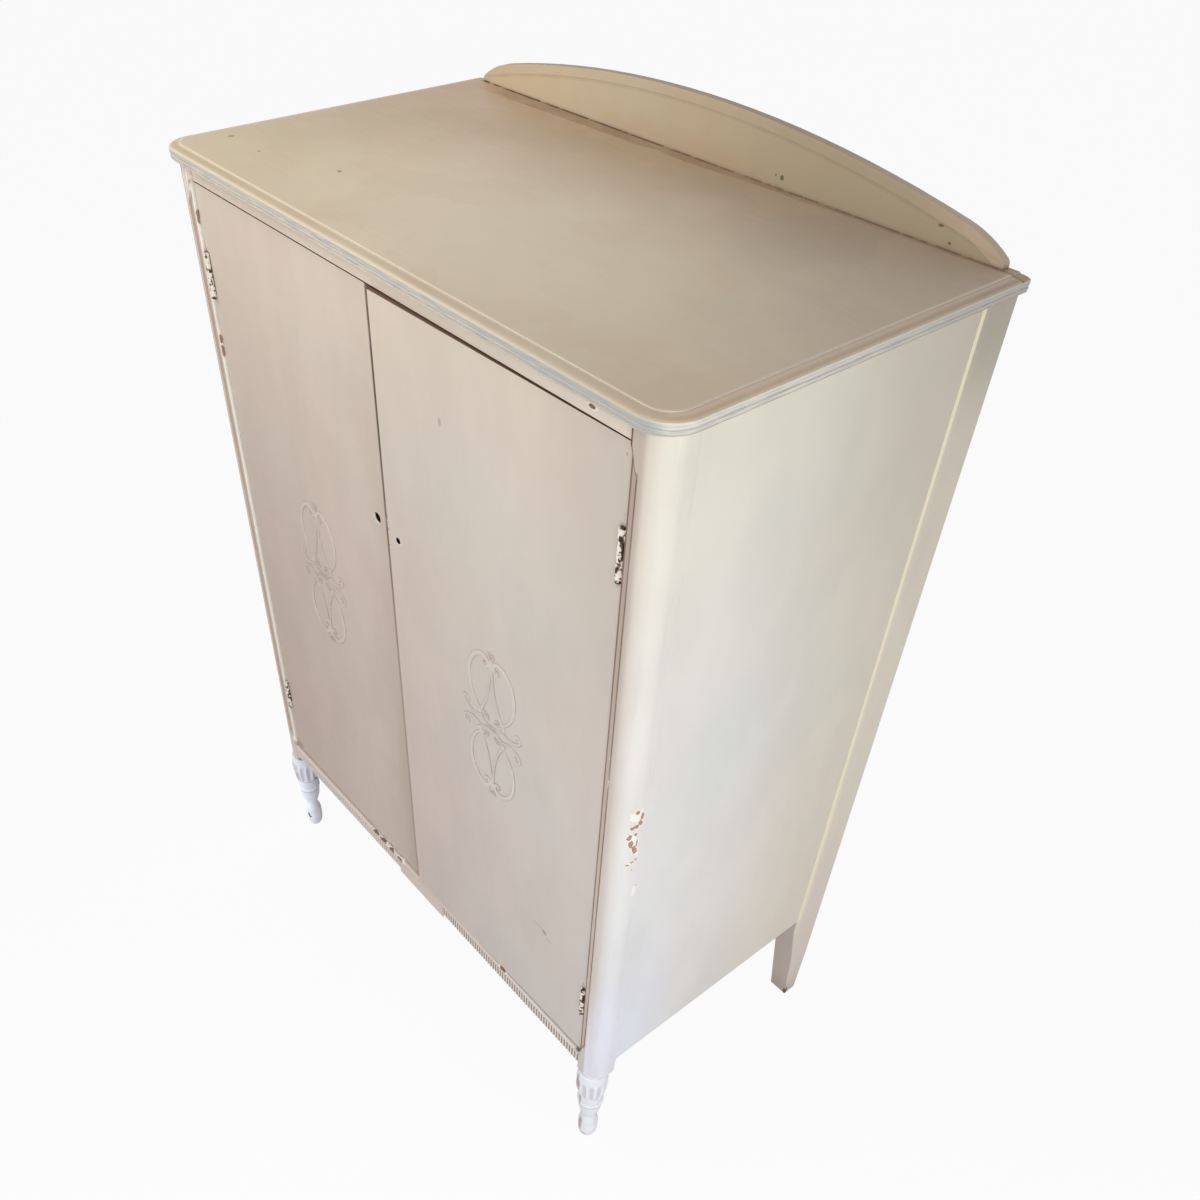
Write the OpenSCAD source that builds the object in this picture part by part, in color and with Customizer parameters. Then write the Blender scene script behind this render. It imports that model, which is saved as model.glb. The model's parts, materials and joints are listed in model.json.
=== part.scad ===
// Two-door armoire on turned front feet, with a moulded top, an arched gallery
// board, quarter-round front posts and a fluted lower rail.
// X runs left to right, Y front to back, Z up. Origin: on the floor, under the
// middle of the top.

/* [Case] */
// Width of the moulded top
top_w = 965; // [900:1:1050]
// Depth of the moulded top
top_d = 529; // [480:1:580]
// Height of the top's upper face above the floor
top_z = 1340; // [1300:1:1400]
// Thickness of the moulded top
top_t = 18; // [18:1:22]
// Radius of the top's two front corners in plan
top_corner_r = 42; // [30:1:60]
// Distance of a side panel's outer face from the middle
side_x = 472; // [460:0.5:472]
// Thickness of a side panel
side_t = 12; // [9:0.5:14]

/* [Gallery] */
// Height of the gallery's crown above the top
gallery_h = 72.5; // [50:0.5:90]
// Radius of the gallery's arched edge
gallery_arch_r = 1970; // [1900:5:2300]
// Distance from the middle at which the gallery's rounded ends begin
gallery_end_x = 396; // [380:1:410]
// Thickness of the gallery board
gallery_t = 13; // [10:0.5:16]
// Radius of the gallery's rounded ends
gallery_end_r = 150; // [120:5:180]

/* [Posts and feet] */
// Distance of a front post's inner face from the middle
post_in_x = 430.6; // [425:0.2:432]
// Front plane of the posts' proud blocks, as a distance before the middle
post_front = 254.5; // [250:0.5:256]
// Width of the sunk strip beside each door
strip_w = 10.4; // [8:0.2:14]
// Step from post to strip and from strip to door
step = 3.3; // [2:0.1:4]
// Height of the bottom of the front posts
post_bottom = 207; // [205:1:210]
// Number of scooped flutes round each foot's cup
foot_flutes = 12; // [10:1:14]
// Largest radius of a foot's cup
cup_r = 26; // [22:0.5:27]

/* [Doors] */
// Width of one door
door_w = 428.9; // [420:0.1:429]
// Height of the doors' lower edge
door_bottom = 254; // [250:1:258]
// Height of the doors' upper edge
door_top = 1297.5; // [1290:0.5:1298]
// Thickness of a door
door_t = 19; // [16:0.5:20]
// How far the right door stands ajar
ajar = 0.9; // [0:0.1:2]
// Radius of the knob hole in the left door
hole_r_left = 7; // [3:0.5:9]
// Radius of the knob hole in the right door
hole_r_right = 4; // [3:0.5:9]

/* [Lower rail] */
// Pitch of the rail's reeded flutes
flute_pitch = 6.35; // [5:0.05:8]
// Half the width of the plain tablet in the middle
tablet_half = 66; // [50:1:80]
// Lower edge of the rail
rail_bottom = 219; // [215:1:225]

/* [Hinges] */
// Length of a hinge
hinge_len = 63; // [50:1:70]
// Outer radius of a hinge's knuckles
knuckle_r = 4.2; // [3.6:0.1:4.2]
// Radius of a hinge pin
pin_r = 1.6; // [1.2:0.1:2]
// Height of the middle of the lower hinges
hinge_low_z = 389; // [340:1:450]
// Height of the middle of the upper hinges
hinge_high_z = 1176; // [1100:1:1230]

/* [Interior] */
// Height of the hat shelf's upper face
shelf_z = 1092; // [1000:1:1140]
// Radius of the hanging rod
rod_r = 12.5; // [10:0.5:15]
// Height of the middle of the hanging rod
rod_z = 1032; // [950:1:1045]

/* [Hidden] */
$fn = 64;
back_y = top_d / 2;
under_top = top_z - top_t;
front_y = -post_front;
strip_y = front_y + step;
door_y = strip_y + step;
door_back_y = door_y + door_t;
post_back_y = -209;
post_round = side_x - post_in_x - strip_w;
inner_x = side_x - side_t;
rear_out_x = side_x + 4;
rear_in_x = 434;
rear_front_y = 205.8;
rear_back_y = 261.3;
rail_t = 20;
back_t = 5;
back_face_y = rear_back_y - back_t;
panel_bottom = 248;
rail_top = 252;
bead_bottom = 243;
board_t = 12;
shelf_t = 14;
door_gap = 0.6;
floor_z = 266;
stop_bottom = 1283;
groove_w = 6;
groove_d = 8;
fit = 0.1;
hinge_x = 425.5;
hinge_y = door_y - 2.2;
leaf_t = 1.6;
leaf_depth = 26;
knuckles = 5;
hinge_zs = [hinge_low_z, hinge_high_z];
screw_zs = [-21, 0, 21];
knob_z_left = 981;
knob_z_right = 978;
gallery_y = back_y - gallery_t;

// Mirrors what is modelled on the right to the left where s is -1
module side(s) {
    if (s < 0) mirror([1, 0, 0]) children();
    else children();
}

// A box from its lowest to its highest corner
module block(a, b) {
    translate(a) cube(b - a);
}

// ---- Moulded top ----

// Outline of the moulded edge: x is the distance out from a point inset by
// top_corner_r, z is up
cove_inset = 14;
cove_drop = 4;
ease = 2;
bead_r = 0.9;
groove_r = 0.9;
module edge_profile(reach) {
    band_top = top_z - cove_drop;
    band_h = band_top - under_top;
    difference() {
        polygon([[-reach, under_top], [top_corner_r - ease, under_top],
            [top_corner_r, under_top + ease], [top_corner_r, band_top],
            [top_corner_r - 1, band_top + 0.8], [top_corner_r - 4, band_top + 1.8],
            [top_corner_r - 9, band_top + 2.5], [top_corner_r - cove_inset, band_top + 2.6],
            [top_corner_r - cove_inset, top_z - 0.5], [top_corner_r - cove_inset - 0.6, top_z],
            [-reach, top_z]]);
        for (k = [0.47, 0.8])
            translate([top_corner_r, band_top - k * band_h]) circle(groove_r, $fn = 24);
    }
}

// Border round the gallery's raised field, and how far the field stands out
border = 12;
border_step = 1;
// Foot of the gallery board, let into the top by this much
housing = 3;
gallery_end_angle = asin(gallery_end_x / gallery_arch_r);
gallery_end_cx = (gallery_arch_r - gallery_end_r) * sin(gallery_end_angle);
gallery_end_cz = gallery_h - gallery_arch_r + (gallery_arch_r - gallery_end_r) * cos(gallery_end_angle);
// The arch comes down upright at its foot, with a small round above
gallery_foot_x = 454;
gallery_foot_r = 8;
gallery_foot_cx = gallery_foot_x - gallery_foot_r;
gallery_foot_cz = gallery_end_cz
    + sqrt(pow(gallery_end_r - gallery_foot_r, 2) - pow(gallery_foot_cx - gallery_end_cx, 2));
gallery_end_reach = gallery_end_cx
    + gallery_end_r * (gallery_foot_cx - gallery_end_cx) / (gallery_end_r - gallery_foot_r);
// Half the width of the gallery's foot, or of its field inside the border
function gallery_foot(inset) = inset == 0 ? gallery_foot_x
    : gallery_end_cx + sqrt(pow(gallery_end_r - inset, 2) - pow(gallery_end_cz, 2));
module gallery_tongue() {
    block([-gallery_foot(0), gallery_y + border_step, top_z - housing], [gallery_foot(0), back_y, top_z]);
    block([-gallery_foot(border), gallery_y, top_z - housing],
        [gallery_foot(border), gallery_y + border_step, top_z]);
}
module top_slab() {
    difference() {
        top_body();
        gallery_tongue();
    }
}
module top_body() {
    straight_x = top_w / 2 - top_corner_r;
    straight_y = top_d / 2 - top_corner_r;
    color("tan") union() {
        // middle, with the front edge
        translate([-straight_x, 0, 0]) rotate([90, 0, 90]) linear_extrude(2 * straight_x)
            union() {
                mirror([1, 0]) translate([straight_y, 0]) edge_profile(straight_y);
                translate([0, under_top]) square([back_y, top_t]);
            }
        // side edges, square at the back
        for (s = [-1, 1]) side(s)
            translate([straight_x, back_y, 0]) rotate([90, 0, 0])
                linear_extrude(back_y + straight_y) edge_profile(straight_x);
        // rounded front corners
        for (s = [-1, 1]) side(s)
            translate([straight_x, -straight_y, 0]) rotate_extrude($fn = 96) edge_profile(0);
    }
}

// ---- Gallery ----

module gallery_outline(inset) {
    crown = gallery_h - inset;
    end_x = (gallery_arch_r - inset) * sin(gallery_end_angle);
    intersection() {
        translate([0, gallery_h - gallery_arch_r]) circle(gallery_arch_r - inset, $fn = 360);
        union() {
            translate([-end_x, 0]) square([2 * end_x, crown]);
            intersection() {
                for (s = [-1, 1]) translate([s * gallery_end_cx, gallery_end_cz])
                    circle(gallery_end_r - inset, $fn = 96);
                translate([-gallery_end_reach, 0]) square([2 * gallery_end_reach, crown]);
            }
            if (inset == 0) for (s = [-1, 1]) {
                translate([s * gallery_foot_cx, gallery_foot_cz]) circle(gallery_foot_r, $fn = 48);
                translate([s > 0 ? gallery_foot_cx : -gallery_foot_x, 0])
                    square([gallery_foot_r, gallery_foot_cz]);
            }
        }
        translate([-top_w, 0]) square([2 * top_w, crown]);
    }
}

// The front face is sunk inside a narrow border that follows the arch
module gallery_board() {
    color("bisque") union() {
        translate([0, back_y, top_z]) rotate([90, 0, 0]) {
            linear_extrude(gallery_t - border_step) gallery_outline(0);
            linear_extrude(gallery_t) gallery_outline(border);
        }
        gallery_tongue();
    }
}

// ---- Front posts ----

// Quarter-round post in plan, right side
module post_plan() {
    union() {
        translate([post_in_x, front_y + post_round])
            square([side_x - post_in_x, post_back_y - front_y - post_round]);
        translate([post_in_x, front_y])
            square([strip_w, post_round]);
        intersection() {
            translate([side_x - post_round, front_y + post_round]) circle(post_round, $fn = 128);
            translate([side_x - post_round, front_y]) square(post_round);
        }
    }
}

// Elevation of the sunk strip, stopped at both ends by a lamb's tongue
strip_low = 268;
strip_high = 1287;
tongue = 14;
function tongue_curve(z, dir) = [for (i = [0 : 8])
    let (t = i / 8) [t * (strip_w + 1), z + dir * tongue * cos(180 * t)]];
module strip_outline() {
    low = tongue_curve(strip_low + 4, -1);
    high = tongue_curve(strip_high - 1, 1);
    polygon(concat(low, [for (i = [8 : -1 : 0]) high[i]]));
}

// Chamfered lower end of a front post, seen from the front and from the side
module post_ends() {
    in_cut = 6;
    out_cut = 8;
    rotate([90, 0, 0]) translate([0, 0, -side_x]) linear_extrude(2 * side_x)
        polygon([[post_in_x + in_cut, post_bottom], [side_x - out_cut, post_bottom],
            [side_x, post_bottom + out_cut], [side_x, under_top],
            [post_in_x, under_top], [post_in_x, post_bottom + in_cut]]);
}
module post_side() {
    front_cut = 3;
    back_cut = 10;
    below_panel = 4;
    rotate([90, 0, 90]) linear_extrude(side_x + 1)
        polygon([[front_y + front_cut, post_bottom], [post_back_y - below_panel - back_cut, post_bottom],
            [post_back_y - below_panel - 2, post_bottom + back_cut],
            [post_back_y - below_panel, panel_bottom], [post_back_y, panel_bottom],
            [post_back_y, under_top], [front_y, under_top], [front_y, post_bottom + front_cut]]);
}

module front_post() {
    color("antiquewhite") difference() {
        intersection() {
            linear_extrude(under_top) post_plan();
            post_ends();
            post_side();
        }
        // sunk strip, from the door opening to the round
        intersection() {
            translate([post_in_x - 1, strip_y, 0]) rotate([90, 0, 0])
                linear_extrude(step + 1) strip_outline();
            block([post_in_x - 1, front_y - 1, post_bottom],
                [post_in_x + strip_w, strip_y, under_top]);
        }
        // groove for the side panel's tongue
        block([inner_x + 3, post_back_y - groove_d, panel_bottom],
            [inner_x + 3 + groove_w, post_back_y + 1, under_top + 1]);
        // socket for the foot's dowel
        translate([foot_x, foot_y, post_bottom - 1]) cylinder(h = 42, r = dowel_r + fit / 2);
        // recesses for the hinge leaves
        for (z = hinge_zs) block([post_in_x - 1, hinge_y - 0.9, z - hinge_len / 2],
            [post_in_x + leaf_t - 0.5, hinge_y + leaf_depth + 2.4, z + hinge_len / 2]);
    }
}
module front_post_l() { side(-1) front_post(); }
module front_post_r() { side(1) front_post(); }

// ---- Turned front feet ----

foot_x = 446;
foot_y = -233.5;
dowel_r = 9;
cup_low = 140;
cup_wide = 172;
// radius of the arc that shapes the cup between its lower edge and its shoulder
cup_arc = 116;
function cup_at(z) = cup_r - cup_arc + sqrt(cup_arc * cup_arc - (z - cup_wide) * (z - cup_wide));
module foot_outline() {
    toe = [[0, 0], [9.6, 0], [10.6, 1], [13.2, 5], [14.8, 10], [15.2, 14], [15.9, 15.5],
        [16.3, 24], [16.5, 34], [16.2, 43], [15, 50], [12.8, 55.5], [11.4, 60]];
    vase = [[11.2, 64], [11.8, 69], [13.8, 75], [16, 81], [17.8, 88], [19, 96], [19.6, 104], [19.9, 110]];
    ring = [[21, 122], [21, 135], [20.2, 138]];
    cup = [for (i = [0 : 12]) let (z = cup_low + (190 - cup_low) * i / 12) [cup_at(z), z]];
    difference() {
        union() {
            polygon(concat(toe, vase, ring, cup, [[23.8, 194], [22.4, 197.5], [20.8, 200],
                [20.5, 200.5], [0, 200.5]]));
            // bead under the cup
            translate([17.6, 115]) circle(4.2, $fn = 40);
            translate([0, 200]) square([20.5, post_bottom - 200]);
            translate([20.4, post_bottom - 3.4]) circle(3.4, $fn = 32);
            translate([0, post_bottom - 1]) square([dowel_r, 40]);
        }
        translate([-40, -1]) square([40, 300]);
    }
}

// One scooped flute, a long round-ended spindle set into the cup's wall
flute_low_z = 147;
flute_high_z = 182;
flute_low_r = 5.2;
flute_high_r = 7.6;
flute_low_deep = 2.4;
flute_high_deep = 2.6;
module scoop() {
    low_x = cup_at(flute_low_z) + flute_low_r - flute_low_deep;
    high_x = cup_at(flute_high_z) + flute_high_r - flute_high_deep;
    run_x = high_x - low_x;
    run_z = flute_high_z - flute_low_z;
    run = norm([run_x, run_z]);
    translate([low_x, 0, flute_low_z]) rotate([0, atan2(run_x, run_z), 0])
        rotate_extrude($fn = 36) intersection() {
            union() {
                circle(flute_low_r, $fn = 32);
                translate([0, run]) circle(flute_high_r, $fn = 32);
                polygon([[0, 0], [flute_low_r, 0], [flute_high_r, run], [0, run]]);
            }
            translate([0, -20]) square([20, run + 40]);
        }
}
module front_foot() {
    color("ghostwhite") translate([foot_x, foot_y, 0]) difference() {
        rotate_extrude($fn = 72) foot_outline();
        for (k = [0 : foot_flutes - 1]) rotate([0, 0, (k + 0.5) * 360 / foot_flutes]) scoop();
    }
}
module front_foot_l() { side(-1) front_foot(); }
module front_foot_r() { side(1) front_foot(); }

// ---- Rear posts ----

leg_x = 440;
leg_out_x = 474;
leg_y = 235;
module rear_post() {
    color("antiquewhite") difference() {
        intersection() {
            // plan, with a bevel between the panel and the proud side face
            linear_extrude(under_top)
                polygon([[rear_in_x, rear_front_y], [side_x, rear_front_y],
                    [rear_out_x, 217], [rear_out_x, rear_back_y], [rear_in_x, rear_back_y]]);
            // front taper of the leg
            translate([0, 0, 0]) rotate([90, 0, 0]) mirror([0, 0, 1]) linear_extrude(300)
                polygon([[leg_x, 0], [leg_out_x, 0], [rear_out_x, 120], [rear_out_x, under_top],
                    [rear_in_x, under_top], [rear_in_x, rail_bottom]]);
            // side taper of the leg
            rotate([90, 0, 90]) linear_extrude(rear_out_x + 1)
                polygon([[leg_y, 0], [rear_back_y, 0], [rear_back_y, under_top],
                    [rear_front_y, under_top], [rear_front_y, rail_bottom]]);
        }
        // groove for the side panel's tongue
        block([inner_x + 3, rear_front_y - 1, panel_bottom],
            [inner_x + 3 + groove_w, rear_front_y + groove_d, under_top + 1]);
        // rebate for the back panel
        block([rear_in_x - 1, back_face_y, rail_bottom],
            [rear_in_x + 12, rear_back_y + 1, under_top + 1]);
    }
}
module rear_post_l() { side(-1) rear_post(); }
module rear_post_r() { side(1) rear_post(); }

// ---- Side and back panels ----

module side_panel() {
    color("mintcream") union() {
        block([inner_x, post_back_y, panel_bottom], [side_x, rear_front_y, under_top]);
        block([inner_x + 3 + fit, post_back_y - groove_d + 0.5, panel_bottom + fit],
            [inner_x + 3 + groove_w - fit, rear_front_y + groove_d - 0.5, under_top]);
    }
}
module side_panel_l() { side(-1) side_panel(); }
module side_panel_r() { side(1) side_panel(); }

module back_panel() {
    color("burlywood")
        block([-rear_in_x - 11, back_face_y, rail_bottom + 1],
            [rear_in_x + 11, rear_back_y, under_top - 1]);
}

// ---- Rails ----

module top_front_rail() {
    color("antiquewhite")
        block([-post_in_x, door_y, door_top + 1.4], [post_in_x, door_y + rail_t, under_top]);
}
module top_back_rail() {
    color("burlywood")
        block([-rear_in_x, rear_back_y - 25, under_top - 40], [rear_in_x, back_face_y, under_top]);
}
module top_side_rail() {
    color("burlywood")
        block([inner_x - 18, post_back_y, under_top - 32], [inner_x, rear_front_y, under_top]);
}
module top_side_rail_l() { side(-1) top_side_rail(); }
module top_side_rail_r() { side(1) top_side_rail(); }
module bottom_side_rail() {
    color("burlywood")
        block([inner_x - 20, post_back_y, panel_bottom - 14],
            [inner_x, rear_front_y, floor_z - board_t]);
}
module bottom_side_rail_l() { side(-1) bottom_side_rail(); }
module bottom_side_rail_r() { side(1) bottom_side_rail(); }
module bottom_back_rail() {
    color("burlywood")
        block([-rear_in_x, rear_back_y - 25, rail_bottom], [rear_in_x, back_face_y, floor_z - board_t]);
}

// The lower front rail: half-round flutes cut upwards from its lower edge on
// both sides of a plain middle
flute_cut_r = 2.6;
flute_sink = 1.0;
module bottom_front_rail() {
    first = tablet_half + flute_pitch * 0.6;
    count = floor((post_in_x - 3 - first) / flute_pitch);
    color("antiquewhite") difference() {
        block([-post_in_x, strip_y, rail_bottom], [post_in_x, strip_y + rail_t, rail_top]);
        for (s = [-1, 1], i = [0 : count])
            translate([s * (first + i * flute_pitch), strip_y - flute_cut_r + flute_sink, rail_bottom - 1])
                cylinder(h = bead_bottom - rail_bottom + 0.5, r = flute_cut_r, $fn = 24);
    }
}

// Half-round bead along the top of the fluted band
module rail_bead() {
    mid = (rail_top + bead_bottom) / 2;
    bead = 1.3;
    color("antiquewhite") translate([-post_in_x, strip_y, 0]) rotate([90, 0, 90])
        linear_extrude(2 * post_in_x) intersection() {
            translate([4, mid]) circle(norm([4 + 0.1, (rail_top - bead_bottom) / 2]), $fn = 64);
            translate([-4, bead_bottom]) square([4, rail_top - bead_bottom]);
        }
}

// Plain tablet in the middle, hanging a little below the rail
module rail_tablet() {
    color("antiquewhite")
        block([-tablet_half, strip_y - 1.2, rail_bottom - 6], [tablet_half, strip_y, bead_bottom]);
}

// ---- Inside ----

// A board across the case, notched round the four posts
module notched_board(front, low, high) {
    color("burlywood") union() {
        block([-inner_x, post_back_y, low], [inner_x, rear_front_y, high]);
        block([-rear_in_x, rear_front_y - 1, low], [rear_in_x, back_face_y, high]);
        block([-post_in_x, front, low], [post_in_x, post_back_y + 1, high]);
    }
}
module bottom_board() {
    notched_board(door_back_y + door_gap, floor_z - board_t, floor_z);
}

module hat_shelf() {
    notched_board(door_back_y + 5, shelf_z - shelf_t, shelf_z);
}
module shelf_cleat() {
    cleat_w = 16;
    cleat_h = 22;
    color("burlywood") block([inner_x - cleat_w, post_back_y, shelf_z - shelf_t - cleat_h],
        [inner_x, rear_front_y, shelf_z - shelf_t]);
}
module shelf_cleat_l() { side(-1) shelf_cleat(); }
module shelf_cleat_r() { side(1) shelf_cleat(); }

socket_t = 12;
rod_half = inner_x - 4;
module hanging_rod() {
    color("peru") translate([-rod_half, 0, rod_z]) rotate([0, 90, 0])
        cylinder(h = 2 * rod_half, r = rod_r);
}
// Open-topped socket block that the rod drops into
module rod_socket() {
    color("peru") difference() {
        block([inner_x - socket_t, -26, rod_z - 26], [inner_x, 26, rod_z + 20]);
        translate([rod_half - 30, 0, rod_z]) rotate([0, 90, 0])
            cylinder(h = 30 + fit, r = rod_r + fit);
        block([inner_x - socket_t - 1, -rod_r - fit, rod_z],
            [rod_half + fit, rod_r + fit, rod_z + 30]);
    }
}
module rod_socket_l() { side(-1) rod_socket(); }
module rod_socket_r() { side(1) rod_socket(); }

// Strip behind the top rail that the doors close against
module door_stop() {
    color("burlywood")
        block([-post_in_x, door_y + rail_t, stop_bottom], [post_in_x, door_back_y + 14, under_top]);
}

// ---- Doors ----

door_out_x = post_in_x - 1.1;
module door_board(knob_x, knob_z, hole_r) {
    difference() {
        block([door_out_x - door_w, door_y, door_bottom], [door_out_x, door_back_y, door_top]);
        translate([knob_x, door_y - 1, knob_z]) rotate([-90, 0, 0])
            cylinder(h = door_t + 2, r = hole_r);
        for (z = hinge_zs) {
            translate([hinge_x, hinge_y, z - hinge_len / 2 - 0.6])
                cylinder(h = hinge_len + 1.2, r = knuckle_r + 0.35);
            block([door_out_x - leaf_t, door_y - 1, z - hinge_len / 2],
                [door_out_x + 1, hinge_y + leaf_depth + 2.4, z + hinge_len / 2]);
        }
    }
}
// Turns what is modelled shut on the right to the ajar position
module ajar_right() {
    translate([hinge_x, hinge_y, 0]) rotate([0, 0, ajar]) translate([-hinge_x, -hinge_y, 0])
        children();
}
module door_l() { color("linen") side(-1) door_board(35, knob_z_left, hole_r_left); }
module door_r() { color("linen") ajar_right() door_board(23, knob_z_right, hole_r_right); }

// Spring catches under the door stop and their strikes on the doors
catch_x = 40;
module catches() {
    for (s = [-1, 1]) color("silver") side(s) union() {
        block([catch_x - 16, door_back_y + 2.2, stop_bottom - 11],
            [catch_x + 16, door_back_y + 14, stop_bottom]);
        translate([catch_x, door_back_y + 4, stop_bottom - 5.5]) sphere(3.2, $fn = 32);
    }
}
module strike() {
    color("silver") difference() {
        block([catch_x - 19, door_back_y, stop_bottom - 13], [catch_x + 19, door_back_y + door_gap, stop_bottom + 1]);
        translate([catch_x, door_back_y - 1, stop_bottom - 5.5]) rotate([-90, 0, 0])
            cylinder(h = 3, r = 3);
    }
}
module strike_l() { side(-1) strike(); }
module strike_r() { ajar_right() strike(); }

// ---- Hinges ----

kn_len = hinge_len / knuckles;
kn_gap = 0.2;
module knuckle(k) {
    translate([hinge_x, hinge_y, k * kn_len - hinge_len / 2 + kn_gap / 2])
        cylinder(h = kn_len - kn_gap, r = knuckle_r);
}
// Countersunk holes through a leaf whose face looks along -X from x
module leaf_holes(x) {
    for (z = screw_zs) translate([x, hinge_y + 15 + 5 * abs(sign(z)), z]) rotate([0, 90, 0]) {
        translate([0, 0, -0.01]) cylinder(h = 1.7, r1 = 3.1, r2 = 1.7);
        translate([0, 0, -1]) cylinder(h = 5, r = 1.7);
    }
}
module leaf_post_one() {
    x = post_in_x - 0.5;
    difference() {
        union() {
            block([x, hinge_y - 0.7, -hinge_len / 2 + 0.1],
                [x + leaf_t - fit, hinge_y + leaf_depth + 2, hinge_len / 2 - 0.1]);
            for (k = [0, 2, 4]) {
                knuckle(k);
                block([hinge_x + 2.6, hinge_y - 0.7, k * kn_len - hinge_len / 2 + kn_gap / 2],
                    [x + 1, hinge_y + 1.6, (k + 1) * kn_len - hinge_len / 2 - kn_gap / 2]);
            }
        }
        // room for the moving knuckles
        for (k = [1, 3]) block([x - 1, hinge_y - 5, k * kn_len - hinge_len / 2 - 0.1],
            [x + 1, hinge_y + 1, (k + 1) * kn_len - hinge_len / 2 + 0.1]);
        translate([hinge_x, hinge_y, -hinge_len]) cylinder(h = 2 * hinge_len, r = pin_r + 0.05);
        leaf_holes(x);
    }
}
module leaf_door_one() {
    x = door_out_x;
    difference() {
        union() {
            block([x - leaf_t + fit, hinge_y + knuckle_r + 0.3, -hinge_len / 2 + 0.1],
                [x, hinge_y + leaf_depth + 2, hinge_len / 2 - 0.1]);
            for (k = [1, 3]) {
                knuckle(k);
                block([x - leaf_t + fit, hinge_y, k * kn_len - hinge_len / 2 + kn_gap / 2],
                    [x, hinge_y + knuckle_r + 1, (k + 1) * kn_len - hinge_len / 2 - kn_gap / 2]);
            }
        }
        translate([hinge_x, hinge_y, -hinge_len]) cylinder(h = 2 * hinge_len, r = pin_r + 0.05);
        mirror([1, 0, 0]) leaf_holes(-x);
    }
}
module hinge_leaf_post() {
    for (z = hinge_zs) translate([0, 0, z]) color("gainsboro") leaf_post_one();
}
module hinge_leaf_door() {
    for (z = hinge_zs) translate([0, 0, z]) color("gainsboro") leaf_door_one();
}
module hinge_leaf_post_l() { side(-1) hinge_leaf_post(); }
module hinge_leaf_post_r() { hinge_leaf_post(); }
module hinge_leaf_door_l() { side(-1) hinge_leaf_door(); }
module hinge_leaf_door_r() { ajar_right() hinge_leaf_door(); }

module hinge_pins() {
    for (z = hinge_zs) translate([hinge_x, hinge_y, z - hinge_len / 2 - 0.4]) color("silver")
        union() {
            cylinder(h = hinge_len + 0.8, r = pin_r);
            translate([0, 0, hinge_len + 0.5]) cylinder(h = 1.1, r1 = 2.6, r2 = 1.8);
        }
}
module hinge_pins_l() { side(-1) hinge_pins(); }
module hinge_pins_r() { hinge_pins(); }

// Wood screw whose head lies flush at z = 0 and whose shank runs along +Z
module screw(len, head_r, shank_r) {
    rotate_extrude($fn = 24)
        polygon([[0, 0.1], [head_r, 0.1], [shank_r, 1.6], [shank_r * 0.85, len - 4], [0, len]]);
}
module leaf_screws(x, dir) {
    for (hz = hinge_zs, z = screw_zs)
        translate([x, hinge_y + 15 + 5 * abs(sign(z)), hz + z]) rotate([0, dir * 90, 0])
            color("silver") screw(16, 3, 1.6);
}
module post_screws_l() { side(-1) leaf_screws(post_in_x - 0.5, 1); }
module post_screws_r() { leaf_screws(post_in_x - 0.5, 1); }
module door_screws_l() { side(-1) leaf_screws(door_out_x, -1); }
module door_screws_r() { ajar_right() leaf_screws(door_out_x, -1); }

// ---- Fixings out of sight ----

// Triangular blocks glued behind the lower rail and under the top
module glue_block(h) {
    linear_extrude(h) polygon([[0, 0], [22, 0], [0, 22]]);
}
module glue_blocks() {
    for (s = [-1, 1], x = [140, 300]) color("burlywood") side(s)
        translate([x, strip_y + rail_t, floor_z - board_t]) rotate([0, 90, 0]) glue_block(60);
    for (s = [-1, 1], x = [120, 300]) color("burlywood") side(s)
        translate([x, door_back_y + 14, under_top]) rotate([0, 90, 0]) glue_block(60);
}

// Screws up through the top into the gallery board
module gallery_screws() {
    for (x = [-400, -135, 135, 400]) color("silver")
        translate([x, gallery_y + gallery_t / 2 - 1, under_top - 0.1]) screw(42, 4, 2);
}

// Screws up through the side and back rails into the top
module top_screws() {
    for (s = [-1, 1], y = [-150, 150]) color("silver") side(s)
        translate([inner_x - 9, y, under_top - 32]) screw(44, 4, 2);
    for (s = [-1, 1]) color("silver") side(s)
        translate([250, rear_back_y - 15, under_top - 40]) screw(52, 4, 2);
}

// Nails round the edge of the back panel
module back_nail() {
    rotate([90, 0, 0]) rotate_extrude($fn = 24)
        polygon([[0, -0.6], [2.6, -0.6], [2.6, 0], [0.9, 0], [0.9, 16], [0, 18]]);
}
module back_nails() {
    for (s = [-1, 1], z = [300 : 190 : 1280]) color("silver") side(s)
        translate([rear_in_x + 6, rear_back_y, z]) back_nail();
    for (x = [-330, -110, 110, 330], z = [rail_bottom + 15, under_top - 20]) color("silver")
        translate([x, rear_back_y, z]) back_nail();
}

top_slab();
gallery_board();
front_post_l();
front_post_r();
front_foot_l();
front_foot_r();
rear_post_l();
rear_post_r();
side_panel_l();
side_panel_r();
back_panel();
top_front_rail();
top_back_rail();
top_side_rail_l();
top_side_rail_r();
bottom_front_rail();
rail_bead();
rail_tablet();
bottom_back_rail();
bottom_side_rail_l();
bottom_side_rail_r();
bottom_board();
hat_shelf();
shelf_cleat_l();
shelf_cleat_r();
hanging_rod();
rod_socket_l();
rod_socket_r();
door_stop();
door_l();
door_r();
catches();
strike_l();
strike_r();
hinge_leaf_post_l();
hinge_leaf_post_r();
hinge_leaf_door_l();
hinge_leaf_door_r();
hinge_pins_l();
hinge_pins_r();
post_screws_l();
post_screws_r();
door_screws_l();
door_screws_r();
glue_blocks();
gallery_screws();
top_screws();
back_nails();
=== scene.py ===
"""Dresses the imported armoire: aged paint, bare wood inside, scroll ornament, wear, light and camera."""

import json
import math

import bmesh
import bpy
from mathutils import Matrix, Vector


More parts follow.
